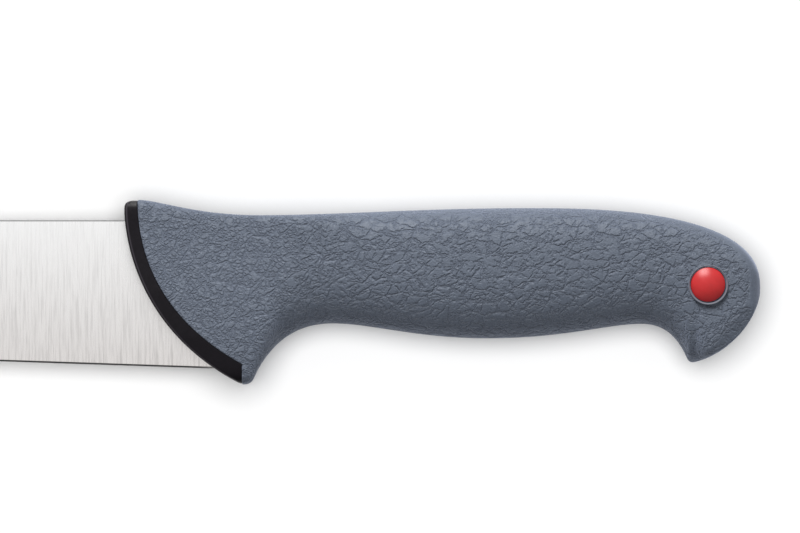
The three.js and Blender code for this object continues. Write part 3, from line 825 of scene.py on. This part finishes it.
def brushed_stainless_steel(knife):
    """Stainless steel, ground and brushed across: fine streaks from spine to edge blur what it mirrors along
    the blade, painted shade makes it a little darker towards the edge, and the spine and the edge are left
    dull, and painted darker there as painted shade."""
    size, colours = knife.blade, knife.colours
    material, tree = new_material("brushed_stainless_steel")
    place, dull_and_painted_shade = object_place(tree), attribute(tree, "dull_and_painted_shade")
    spread = (per_metre(STREAK_WIDTH), per_metre(STREAK_LENGTH), per_metre(STREAK_LENGTH))
    along = add_node(tree, "ShaderNodeMapping", {"Vector": place, "Scale": spread}).outputs[0]
    streaks = noise(tree, along, 1, 3, roughness=0.7)
    down = remap(tree, separate(tree, place)["Y"], ORIGIN[1], ORIGIN[1] - size.heel_depth)
    # Painted shade: the steel darkens from the spine to the edge.
    painted_edge_shade = blend_colours(tree, down, colours.steel, colours.steel_painted_shade_at_edge)
    tone = remap(tree, streaks, *STREAK_RANGE, remap(tree, down, 0, 1, *STREAK_TONES), 1)
    brushed = vector_maths(tree, "MULTIPLY", painted_edge_shade, tone)
    # Painted shade: the dull spine and edge get a darker colour, for the dark lines along them; their
    # roughness is real.
    shade = blend_colours(tree, dull_and_painted_shade, brushed, colours.steel_dull_painted_shade)
    rough = blend(tree, dull_and_painted_shade, vary(tree, streaks, 0.21, 0.29), 0.7)
    across = add_node(tree, "ShaderNodeTangent", direction_type="UV_MAP", uv_map="brushing").outputs[0]
    return surface(material, "ShaderNodeBsdfPrincipled", {
        "Base Color": shade, "Metallic": 1, "Roughness": rough, "Anisotropic": 0.7,
        "Normal": bump(tree, streaks, 0.25, 0.01 * MM), "Tangent": across})


def rippled(tree, plain, size, tones, roughs, strength):
    """The colour, roughness and normal of plastic from a polished mould, which a faint ripple varies."""
    ripple = noise(tree, object_place(tree), size, 3)
    shade = vector_maths(tree, "MULTIPLY", plain[:3], vary(tree, ripple, *tones))
    return shade, vary(tree, ripple, *roughs), bump(tree, ripple, strength, RIPPLE_DEPTH)


def moulded_black_polypropylene(knife):
    """Black polypropylene from a polished mould: a satin skin with a faint ripple and soft highlights,
    and a painted highlight along the collar's front."""
    colours = knife.colours
    material, tree = new_material("moulded_black_polypropylene")
    black, rough, normal = rippled(
        tree, colours.core, 0.8 * MM, tones=(0.85, 1.1), roughs=(0.3, 0.4), strength=0.3)
    # Painted highlight along the collar's front edge.
    shade = blend_colours(tree, attribute(tree, "painted_highlight"), black, colours.core_painted_highlight)
    return surface(material, "ShaderNodeBsdfPrincipled", {
        "Base Color": shade, "Roughness": rough, "IOR": 1.49, "Specular IOR Level": 0.12, "Normal": normal})


def grain_creases(tree, place, grain, widened):
    """How deep the moulded grain is, from 0 to 1, in any node tree: broken creases along the handle and
    across it, and short wrinkles that are dense on the guard and few behind it."""
    bend = noise(tree, place, grain.bend, 3, "Color", 0.6)
    level, slant = [
        vector_maths(tree, "MULTIPLY_ADD", bend, (reach,) * 3, place)
        for reach in (grain.bend_reach, grain.slant_bend)]
    patches = separate(tree, noise(tree, place, grain.patch, 3, "Color"))
    along = separate(tree, place)["X"]
    behind_guard = remap(
        tree, along, ORIGIN[0] + grain.fine_until, ORIGIN[0] + grain.coarse_from, smooth=True)
    crease, wrinkle = (grain.crease_cell, grain.crease_width), (grain.wrinkle_cell, grain.wrinkle_width)
    # Each network's course, lean, stretch, sizes and depth, and below which value of the noise a patch has
    # none of it, on the guard and behind it.
    networks = (
        (level, LEVEL_LEAN, grain.level_stretch, crease, 1, (0.45, 0.37)),
        (slant, SLANT_LEAN, grain.slant_stretch, crease, 0.85, (0.40, 0.44)),
        (slant, WRINKLE_LEAN, 1.3, wrinkle, grain.wrinkle_share, (0.37, 0.52)),
    )
    deepest = None
    for (course, lean, stretch, (cell, width), depth, bare), patch in zip(networks, patches):
        leant = add_node(tree, "ShaderNodeVectorRotate", {
            "Vector": course, "Angle": lean}, rotation_type="Z_AXIS").outputs[0]
        laid = vector_maths(tree, "MULTIPLY", leant, (1 / stretch, 1, 1))
        edge = add_node(tree, "ShaderNodeTexVoronoi", {
            "Vector": laid, "Scale": per_metre(cell)}, feature="DISTANCE_TO_EDGE").outputs["Distance"]
        bare_below = blend(tree, behind_guard, *bare)
        full_above = maths(tree, "ADD", bare_below, PATCH_SOFTNESS)
        kept = remap(tree, patch, bare_below, full_above, 0, depth)
        line = remap(tree, edge, 0, width * widened / 2 / cell, kept, 0)
        deepest = line if deepest is None else maths(tree, "MAXIMUM", deepest, line)
    return deepest


def grained_grey_polypropylene(knife):
    """Blue-grey polypropylene from a leather-grained mould: matt, pebbled lands between broken creases that
    catch the light along one side. Shade is painted into the pebbles' pits and light on their tops, the
    creases are painted a little paler as painted highlight, and a highlight is painted on the rims round the
    plugs."""
    grain, colours = knife.grain, knife.colours
    material, tree = new_material("grained_grey_polypropylene")
    place, mask = object_place(tree), attribute(tree, "grain")
    creases = grain_creases(tree, place, grain, 1)
    pebbles = noise(tree, place, grain.pebble, 2)
    height = maths(tree, "MULTIPLY_ADD", pebbles, grain.pebble_share, creases)
    shown = maths(tree, "MULTIPLY", height, mask)
    sunk = maths(tree, "MULTIPLY", creases, mask)
    # Painted highlight: the creases are painted a little paler than the lands.
    moulded = blend_colours(tree, sunk, colours.grip, colours.crease)
    # Painted shade and light: the pebbles' pits are painted darker and their tops paler.
    pebbled = vector_maths(tree, "MULTIPLY", moulded, vary(tree, pebbles, 1.14, 0.84))
    # Painted highlight on the rims round the plugs.
    shade = blend_colours(tree, attribute(tree, "painted_highlight"), pebbled, colours.grip_painted_highlight)
    return surface(material, "ShaderNodeBsdfPrincipled", {
        "Base Color": shade, "Roughness": vary(tree, pebbles, 0.52, 0.64), "IOR": 1.49,
        "Sheen Weight": 0.42, "Sheen Tint": colours.sheen,
        "Normal": bump(tree, shown, 1, grain.relief, invert=True)})


def moulded_red_abs(knife):
    """Red ABS from a polished mould: a clean gloss over a colour that hardly varies."""
    material, tree = new_material("moulded_red_abs")
    shade, rough, normal = rippled(
        tree, knife.colours.plug, 1.5 * MM, tones=(0.94, 1.04), roughs=(0.28, 0.36), strength=0.2)
    return surface(material, "ShaderNodeBsdfPrincipled", {
        "Base Color": shade, "Roughness": rough, "IOR": 1.52, "Specular IOR Level": 0.35, "Normal": normal})


def seen_directly(tree):
    """1 for rays from the camera and for what gloss and glass show, and 0 for light on its way."""
    path = add_node(tree, "ShaderNodeLightPath").outputs
    glossy = maths(tree, "MAXIMUM", path["Is Camera Ray"], path["Is Glossy Ray"])
    return maths(tree, "MAXIMUM", glossy, path["Is Transmission Ray"])


def pale_floor(knife):
    """A matt pale floor that keeps the knife's shadow, and throws back little light on to the knife."""
    material, tree = new_material("pale_floor")
    shade = blend_colours(tree, seen_directly(tree), knife.colours.bounce, knife.colours.floor)
    return surface(material, "ShaderNodeBsdfDiffuse", {"Color": shade})


# Blade

def blade_lines(knife):
    """The blade's spine and its edge in the side view, from the tip to inside the handle."""
    size, neck = knife.blade, knife.handle.neck_at
    straight_end = size.belly_run - size.length
    spine = Line(-size.length, -size.tip_drop)
    spine.sweep(size.spine_fall_run - size.length, 0, pair(0.19, 0.64), pair(0.5, 1))
    spine.straight(neck, 0)
    taper = (size.heel_depth - size.middle_depth) / (knife.collar.foot_at - straight_end)
    edge = Line(-size.length, -size.tip_drop - size.tip_blunt)
    edge.sweep(straight_end, -size.middle_depth, pair(0.17, 0.72), pair(0.5, 0.93))
    edge.straight(neck, -size.middle_depth - taper * (neck - straight_end))
    return spine, edge


def ground_blade(knife, form, grown, rounding):
    """The ground blade, grown by a gap all round where it is to cut its slot."""
    size = knife.blade
    spine, edge = blade_lines(knife)
    straight_end = size.belly_run - size.length
    grind = (size.stock - size.edge_shoulder) / 2 / size.heel_depth

    def section(u, sharp):
        """A ring of points at u, from the spine down one side and up the other."""
        thinned = float(ease((straight_end - u) / size.belly_run))
        top, low = float(spine.height(u)), float(edge.height(u))
        bevel = min(size.edge_bevel, (top - low) / 3)
        hone = min(size.hone, bevel / 2)
        spine_half = (size.stock + (size.tip_stock - size.stock) * thinned) / 2
        plane_half = size.stock / 2 - grind * (top - low - bevel)
        shoulder = plane_half + (size.edge_shoulder / 2 - plane_half) * thinned
        thinning = (spine_half - shoulder) * (1 + size.swell) / (top - low - bevel)
        hone_half = shoulder - thinning * (bevel - hone)
        edge_half = size.edge_flat / 2 if sharp else shoulder - grind * bevel
        turn = np.linspace(np.pi / 2, 0, CORNER_STEPS)
        broken = min(rounding, (top - low) / 4, spine_half / 2)
        side = [(top + grown - broken * (1 - math.sin(a)), spine_half + grown - broken * (1 - math.cos(a)))
                for a in turn]
        for part in np.linspace(0, 1, FACE_STEPS + 1)[1:]:
            thinner = (spine_half - shoulder) * part * (1 - size.swell + size.swell * part)
            side.append((top - broken + (low + bevel - top + broken) * part, spine_half - thinner + grown))
        side.append((low + hone + HONE_LEAD * (bevel - hone),
                     hone_half + HONE_LEAD * (shoulder - hone_half) + grown))
        side += [(low + hone, hone_half + grown), (low - grown, edge_half + grown)]
        other = [(v, -z) for v, z in reversed(side)]
        return [(u, v, z) for v, z in side + other]

    front = form.collar_front().points
    heel_front = next(u for u, v in front if v <= edge.height(u))
    sharp_from = heel_front - size.blunt_heel
    from_tip = (np.arange(BELLY_SECTIONS) / BELLY_SECTIONS) ** TIP_CROWDING
    belly = size.belly_run * from_tip - size.length
    straight = np.linspace(straight_end, sharp_from - size.edge_bevel, STRAIGHT_SECTIONS)
    rings = [section(u, True) for u in [*belly, *straight]]
    rings += [section(u, False) for u in (sharp_from, knife.handle.neck_at)]
    blade = loft("blade_cut" if grown else "brushed_blade", rings)
    # Dull steel, also painted darker as painted shade: part of the spine's rounding and the honed edge.
    one_side = [SPINE_DULL_AND_PAINTED_SHADE] * (CORNER_STEPS - 1) + [0.0] * (FACE_STEPS + 2) + [1.0, 1.0]
    dull_and_painted_shade = (one_side + one_side[::-1]) * len(rings) + [0.0, 0.0]
    blade.data.attributes.new("dull_and_painted_shade", "FLOAT", "POINT").data.foreach_set("value", dull_and_painted_shade)
    heel = front + (size.heel_in_collar + grown, 0)
    heel[:, 0] = np.minimum(heel[:, 0], knife.collar.foot_at - size.heel_wall + grown)
    behind, below = form.length, -4 * BEYOND
    far = [(heel[-1][0], below), (behind, below), (behind, BEYOND), (heel[0][0], BEYOND)]
    combine(blade, plate("heel_cut", [*heel, *far], 2 * BEYOND), "DIFFERENCE")
    return blade


def tang(knife, form, grown):
    """The tang, a straight bar of full stock from inside the collar to short of the plugs."""
    size, wall = knife.blade, knife.handle.wall
    neck = knife.handle.neck_at
    root = form.inset(form.top, neck, wall, -1) - size.tang_cover
    floor = form.inset(form.lower, neck, wall, 1) + size.tang_cover
    middle, root_half = (root + floor) / 2, (root - floor) / 2 + grown
    end_at = form.plug_at - size.tang_to_plug
    end_half = size.tang_end / 2 + grown
    start = float(form.collar_front().reach(middle)) + size.heel_in_collar / 2
    upper = [(start, root_half), (neck, root_half), (end_at + grown, end_half)]
    outline = [(u, middle + half) for u, half in upper] + [(u, middle - half) for u, half in reversed(upper)]
    bar = plate("tang", outline, size.stock + 2 * grown)
    for i in range(TANG_HOLES):
        at = neck + (end_at - neck) / TANG_HOLES * i
        hole = size.tang_hole - grown
        cutter = turned("tang_hole", [(hole, -BEYOND), (hole, BEYOND)], at, middle, 1)
        combine(bar, cutter, "DIFFERENCE")
    return bar


def blade_body(knife, form, grown, rounding):
    """Blade and tang in one."""
    blade = ground_blade(knife, form, grown, rounding)
    combine(blade, tang(knife, form, grown), "UNION")
    return blade


class BUTCHERKNIFE_OT_blade(bpy.types.Operator):
    """Makes the blade with its tang"""

    bl_idname = "butcher_knife.blade"
    bl_label = "Make blade"

    def execute(self, context):
        knife = context.scene.butcher_knife
        blade = blade_body(knife, HandleForm(knife), 0, knife.blade.spine_rounding)
        flat_map(blade, "brushing")
        dress(blade, "knife", "blade", "blade", brushed_stainless_steel(knife))
        return {"FINISHED"}


# Core and collar

def collar_piece(knife, form):
    """The collar: a band between its front line and the grip, with both edges rounded."""
    collar = knife.collar
    front, back = form.collar_front().reach, form.collar_back().reach

    def room(v):
        return np.maximum(back(v) - front(v), 0)

    def front_radius(v):
        return np.minimum(collar.rounding, FRONT_ROOM * room(v))

    def back_radius(v):
        return np.minimum(collar.back_rounding, BACK_ROOM * room(v))

    shares = np.linspace(0, 1, COLLAR_ROWS)
    band = form.skin(
        collar.inset, COLLAR_SIDES, shares,
        lambda v: front(v) + front_radius(v), lambda v: back(v) - back_radius(v))
    before = lip(band[0], front, front_radius(band[0][:, 1]), False)
    behind = lip(band[-1], back, back_radius(band[-1][:, 1]), True)
    rings = np.concatenate([before[::-1], band, behind])
    piece = loft("moulded_core", rings, front_rungs=True, back_rungs=True)
    # A highlight is painted on the ring that rounds the collar's front edge.
    painted_highlight = np.zeros(len(rings))
    painted_highlight[len(before) - 1] = COLLAR_PAINTED_HIGHLIGHT
    mark(piece, "painted_highlight", painted_highlight, COLLAR_SIDES)
    return piece


class BUTCHERKNIFE_OT_core(bpy.types.Operator):
    """Makes the core that is moulded round the tang, with its collar"""

    bl_idname = "butcher_knife.core"
    bl_label = "Make handle core"

    def execute(self, context):
        knife = context.scene.butcher_knife
        form = HandleForm(knife)
        front = form.collar_front().reach
        core = collar_piece(knife, form)
        rings = form.inner_skin(knife.handle.wall, lambda v: front(v) + 2 * knife.collar.rounding)
        combine(core, loft("core_bar", rings, front_rungs=True), "UNION")
        combine(core, blade_body(knife, form, knife.blade.slot_gap, 0), "DIFFERENCE")
        combine(core, bore(knife, form), "DIFFERENCE")
        dress(core, "knife", "handle_core", "core", moulded_black_polypropylene(knife))
        return {"FINISHED"}


# Grip

def bore(knife, form):
    """The bore that holds both plugs."""
    plug = knife.plug
    radius = plug.shank_radius + plug.barb + plug.bore_gap
    return turned("bore", [(radius, -BEYOND), (radius, BEYOND)], form.plug_at, -plug.drop, 1)


def grain_tree(knife):
    """A node tree that sinks the grain's creases into a surface. They are full where it faces sideways,
    weaker on top and below, and gone where the butt rounds off."""
    grain = knife.grain
    tree = bpy.data.node_groups.new("moulded_grain", "GeometryNodeTree")
    tree.interface.new_socket("Geometry", in_out="INPUT", socket_type="NodeSocketGeometry")
    depth_input = tree.interface.new_socket("Crease Depth", in_out="INPUT", socket_type="NodeSocketFloat")
    finish_input = tree.interface.new_socket("Material", in_out="INPUT", socket_type="NodeSocketMaterial")
    tree.interface.new_socket("Geometry", in_out="OUTPUT", socket_type="NodeSocketGeometry")
    given = add_node(tree, "NodeGroupInput").outputs
    place = add_node(tree, "GeometryNodeInputPosition").outputs[0]
    normal = add_node(tree, "GeometryNodeInputNormal").outputs[0]
    to_butt, _, outward = separate(tree, normal)
    sideways = maths(tree, "ABSOLUTE", outward)
    rearward = maths(tree, "MAXIMUM", to_butt, 0)
    butt = ORIGIN[0] + knife.handle.length
    smoothing = remap(
        tree, separate(tree, place)["X"], butt - 2 * grain.smooth_butt, butt - grain.smooth_butt,
        0, BUTT_SMOOTHING, smooth=True)
    facing = maths(tree, "MULTIPLY_ADD", rearward, smoothing, sideways)
    mask = remap(tree, facing, *GRAIN_FACING, smooth=True)
    marked = add_node(tree, "GeometryNodeStoreNamedAttribute", {
        "Geometry": given["Geometry"], "Name": "grain", "Value": mask},
        data_type="FLOAT", domain="POINT").outputs[0]
    valleys = maths(tree, "MULTIPLY", grain_creases(tree, place, grain, grain.valley), mask)
    sunk = maths(tree, "MULTIPLY", valleys, given["Crease Depth"])
    shift = vector_maths(tree, "MULTIPLY", normal, maths(tree, "MULTIPLY", sunk, -1))
    moved = add_node(tree, "GeometryNodeSetPosition", {"Geometry": marked, "Offset": shift}).outputs[0]
    real = add_node(tree, "GeometryNodeRealizeInstances", {0: moved}).outputs[0]
    finished = add_node(tree, "GeometryNodeSetMaterial", {
        "Geometry": real, "Material": given["Material"]}).outputs[0]
    add_node(tree, "NodeGroupOutput", {0: finished})
    return tree, depth_input.identifier, finish_input.identifier


def press_grain(knife, grip, finish):
    """Marks where the grip is grained, and sinks the grain into it."""
    tree, depth, material = grain_tree(knife)
    modifier = grip.modifiers.new("grain", "NODES")
    modifier.node_group = tree
    modifier[depth] = knife.grain.depth
    modifier[material] = finish
    settle(grip)


def seat_plugs(knife, form, grip):
    """Raises a rim on each side of the grip, and cuts a plug's seat inside it."""
    size, plug = knife.handle, knife.plug
    seat = plug.cap_radius + plug.seat_gap
    level, rim_top = size.butt_half - plug.seat_depth, size.butt_half + plug.rim_rise
    rim_foot, rim_radius = size.butt_half - size.wall / 2, seat + plug.rim_width
    rounding = plug.rim_width / 5
    crown = [(rim_radius - rounding * (1 - np.cos(a)), rim_top - rounding * (1 - np.sin(a)))
             for a in np.linspace(0, np.pi / 2, LIP_STEPS + 2)]
    slope_foot = rim_top - plug.rim_width
    profile = [(rim_radius, rim_foot), *crown, (seat, slope_foot), (seat / POLE_PART, slope_foot)]
    seat_u, seat_v = form.plug_at + plug.seat_shift, -plug.drop - plug.seat_shift
    for side in (1, -1):
        rim = turned("rim", profile, seat_u, seat_v, side, plug.rim_lean)
        # The rim above its foot is marked for a highlight painted paler than the grip.
        mark(rim, "painted_highlight", [0.0] + [1.0] * (len(profile) - 1), ROUND_SIDES)
        combine(grip, rim, "UNION")
        hole = turned("seat", [(seat, level), (seat, BEYOND)], seat_u, seat_v, side)
        combine(grip, hole, "DIFFERENCE")


class BUTCHERKNIFE_OT_grip(bpy.types.Operator):
    """Makes the grained grip that is moulded over the core"""

    bl_idname = "butcher_knife.grip"
    bl_label = "Make grip"

    def execute(self, context):
        knife = context.scene.butcher_knife
        form = HandleForm(knife)
        size = knife.handle
        back = form.collar_back().reach

        def front(v):
            return back(v) + knife.collar.groove

        butt_from = 1 - size.butt_rounding / size.length
        turn = np.linspace(0, np.pi / 2, BUTT_ROWS + 1)[1:]
        shares = np.concatenate([
            np.linspace(0, butt_from, GRIP_ROWS), butt_from + (1 - butt_from) * np.sin(turn)])
        rings = form.skin(0, GRIP_SIDES, shares, lambda v: front(v) + size.lip, lambda v: form.length)
        rings = np.concatenate([lip(rings[0], front, size.lip, False)[::-1], rings])
        grip = loft("grained_grip", rings, front_rungs=True)
        grip.data.shade_smooth()

        finish = grained_grey_polypropylene(knife)
        press_grain(knife, grip, finish)
        cavity = loft("cavity", form.inner_skin(size.wall - size.core_gap, lambda v: -BEYOND))
        combine(grip, cavity, "DIFFERENCE")
        seat_plugs(knife, form, grip)
        combine(grip, bore(knife, form), "DIFFERENCE")
        dress(grip, "knife", "grip", "grip", finish)
        return {"FINISHED"}


# Plugs

def plug_profile(knife):
    """Radii and heights of one plug, from its shank's end to the middle of its dome."""
    plug = knife.plug
    base = plug_base(knife)
    end = plug.end_gap / 2
    barb = plug.shank_radius + plug.barb
    profile = [(plug.shank_radius - plug.barb / 2, end), (plug.shank_radius, end + plug.barb / 2)]
    profile += [(barb, end + plug.barb_slope), (plug.shank_radius, end + 2 * plug.barb_slope)]
    profile += [(plug.shank_radius, base), (plug.cap_radius, base)]
    top = base + plug.cap_edge + plug.dome_rise
    ball = (plug.cap_radius ** 2 + plug.dome_rise ** 2) / (2 * plug.dome_rise)
    for angle in np.linspace(math.asin(plug.cap_radius / ball), 0, DOME_STEPS + 1)[:-1]:
        profile.append((ball * math.sin(angle), top - ball * (1 - math.cos(angle))))
    return [*profile, (plug.cap_radius / POLE_PART, top)]


def plug_base(knife):
    """Height of the underside of a plug's cap out of the blade's middle plane."""
    return knife.handle.butt_half - knife.plug.seat_depth + knife.plug.cap_lift


class BUTCHERKNIFE_OT_plugs(bpy.types.Operator):
    """Makes the two colour plugs"""

    bl_idname = "butcher_knife.plugs"
    bl_label = "Make colour plugs"

    def execute(self, context):
        knife = context.scene.butcher_knife
        form = HandleForm(knife)
        plug = knife.plug
        finish = moulded_red_abs(knife)
        profile = plug_profile(knife)
        base = plug_base(knife)
        for name, side in (("front", 1), ("back", -1)):
            piece = turned(f"colour_plug_cap_{name}", profile, form.plug_at, -plug.drop, side)
            reach = 2 * plug.shank_radius
            half = plug.slot_width / 2
            corners = [(-half, -reach), (half, -reach), (half, reach), (-half, reach)]
            outline = [(form.plug_at + u, v - plug.drop) for u, v in corners]
            ends = sorted((0, side * (base - plug.slot_stop)))
            slot = loft("slot", [np.column_stack([outline, np.full(4, z)]) for z in ends])
            combine(piece, slot, "DIFFERENCE")
            dress(piece, f"plug_{name}", f"colour_plug_{name}", "plug", finish)
        return {"FINISHED"}


# Stage

class BUTCHERKNIFE_OT_stage(bpy.types.Operator):
    """Makes the floor, the lights and the camera"""

    bl_idname = "butcher_knife.stage"
    bl_label = "Make stage"

    def execute(self, context):
        scene = context.scene
        knife = scene.butcher_knife
        stage = knife.stage
        scene.view_settings.view_transform = "Standard"
        reach = FLOOR_REACH
        mesh = bpy.data.meshes.new("floor")
        corners = [(-reach, -reach, 0), (reach, -reach, 0), (reach, reach, 0), (-reach, reach, 0)]
        mesh.from_pydata(corners, [], [(0, 1, 2, 3)])
        mesh.materials.append(pale_floor(knife))
        floor = new_object("floor", mesh)

        look = ORIGIN + (stage.view_u, stage.view_v, 0)
        data = bpy.data.cameras.new("camera")
        data.lens = stage.lens
        data.sensor_width = SENSOR_WIDTH
        camera = new_object("camera", data)
        camera.location = look + (0, 0, stage.view_width * stage.lens / SENSOR_WIDTH)
        scene.camera = camera

        self.light_fill(scene, stage)
        self.light_key(stage, look, [floor, scene.objects["brushed_blade"]])
        self.light_floor(stage, [floor])
        return {"FINISHED"}

    def light_fill(self, scene, stage):
        """An even fill light. The camera sees it as a white backdrop, and gloss as one that is white
        overhead and darker towards both ends, low down, and on the side that the blade's edge faces."""
        world = bpy.data.worlds.new("studio")
        scene.world = world
        world.use_nodes = True
        world.cycles.sampling_method = "NONE"
        tree = world.node_tree
        tree.nodes.clear()
        direction = add_node(tree, "ShaderNodeTexCoord").outputs["Generated"]
        along, towards_spine, up = separate(tree, direction)
        to_either_end = maths(tree, "ABSOLUTE", along)
        middle = remap(tree, to_either_end, *BACKDROP_ENDS, 1, stage.backdrop_ends)
        overhead = remap(tree, towards_spine, *BACKDROP_EDGE, stage.backdrop_edge, middle)
        low = remap(tree, towards_spine, *BACKDROP_SIDES, stage.backdrop_dark, stage.backdrop_low)
        high = remap(tree, up, *BACKDROP_TOP, smooth=True)
        mirrored = blend(tree, high, low, overhead)
        camera_ray = add_node(tree, "ShaderNodeLightPath").outputs["Is Camera Ray"]
        backdrop = blend(tree, camera_ray, mirrored, 1)
        strength = blend(tree, seen_directly(tree), stage.fill, backdrop)
        light = add_node(tree, "ShaderNodeBackground", {"Color": (1, 1, 1, 1), "Strength": strength})
        add_node(tree, "ShaderNodeOutputWorld", {"Surface": light.outputs[0]})

    def light_key(self, stage, look, unlit):
        """A soft key light above the spine and a little towards the tip. It is kept off the floor, and off
        the blade, which would mirror it."""
        key = self.add_light("key", "AREA", stage.key_power, KEY_PLACE, unlit, "EXCLUDE")
        key.location = look + KEY_PLACE
        key.data.shape = "SQUARE"
        key.data.size = stage.key_size

    def light_floor(self, stage, lit):
        """A broad overhead light for the floor alone, which whitens it and draws the shadow close."""
        overhead = self.add_light("overhead", "SUN", stage.floor_power, OVERHEAD_LEAN, lit, "INCLUDE")
        overhead.data.angle = stage.floor_softness

    def add_light(self, name, kind, power, lean, objects, state):
        """A light that shines down its lean, and reaches the objects alone or leaves them out."""
        data = bpy.data.lights.new(name, kind)
        data.energy = power
        light = new_object(name, data)
        light.rotation_euler = Vector(lean).to_track_quat("Z", "Y").to_euler()
        receivers = bpy.data.collections.new(f"{name}_receivers")
        for i, receiver in enumerate(objects):
            receivers.objects.link(receiver)
            receivers.collection_objects[i].light_linking.link_state = state
        light.light_linking.receiver_collection = receivers
        return light


class BUTCHERKNIFE_PT_panel(bpy.types.Panel):
    """Lists the steps that make the knife, and its sizes and colours"""

    bl_idname = "BUTCHERKNIFE_PT_panel"
    bl_label = "Butcher Knife"
    bl_space_type = "VIEW_3D"
    bl_region_type = "UI"
    bl_category = "Knife"

    def draw(self, context):
        for operator in OPERATORS:
            self.layout.operator(operator.bl_idname)
        for name in KnifeSettings.__annotations__:
            group = getattr(context.scene.butcher_knife, name)
            box = self.layout.box()
            for key in group.__annotations__:
                box.prop(group, key)


OPERATORS = (
    BUTCHERKNIFE_OT_blade,
    BUTCHERKNIFE_OT_core,
    BUTCHERKNIFE_OT_grip,
    BUTCHERKNIFE_OT_plugs,
    BUTCHERKNIFE_OT_stage,
)
CLASSES = (
    BladeSizes, HandleSizes, CollarSizes, PlugSizes, GrainSizes, KnifeColours, StageSizes, KnifeSettings,
    *OPERATORS, BUTCHERKNIFE_PT_panel,
)


def register():
    """Registers the classes and the knife's settings."""
    for kind in CLASSES:
        bpy.utils.register_class(kind)
    bpy.types.Scene.butcher_knife = PointerProperty(type=KnifeSettings)


def unregister():
    """Removes the settings and the classes again."""
    del bpy.types.Scene.butcher_knife
    for kind in reversed(CLASSES):
        bpy.utils.unregister_class(kind)


def main():
    """Builds the knife and its stage."""
    register()
    bpy.ops.butcher_knife.blade()
    bpy.ops.butcher_knife.core()
    bpy.ops.butcher_knife.grip()
    bpy.ops.butcher_knife.plugs()
    bpy.ops.butcher_knife.stage()


if __name__ == "__main__":
    main()
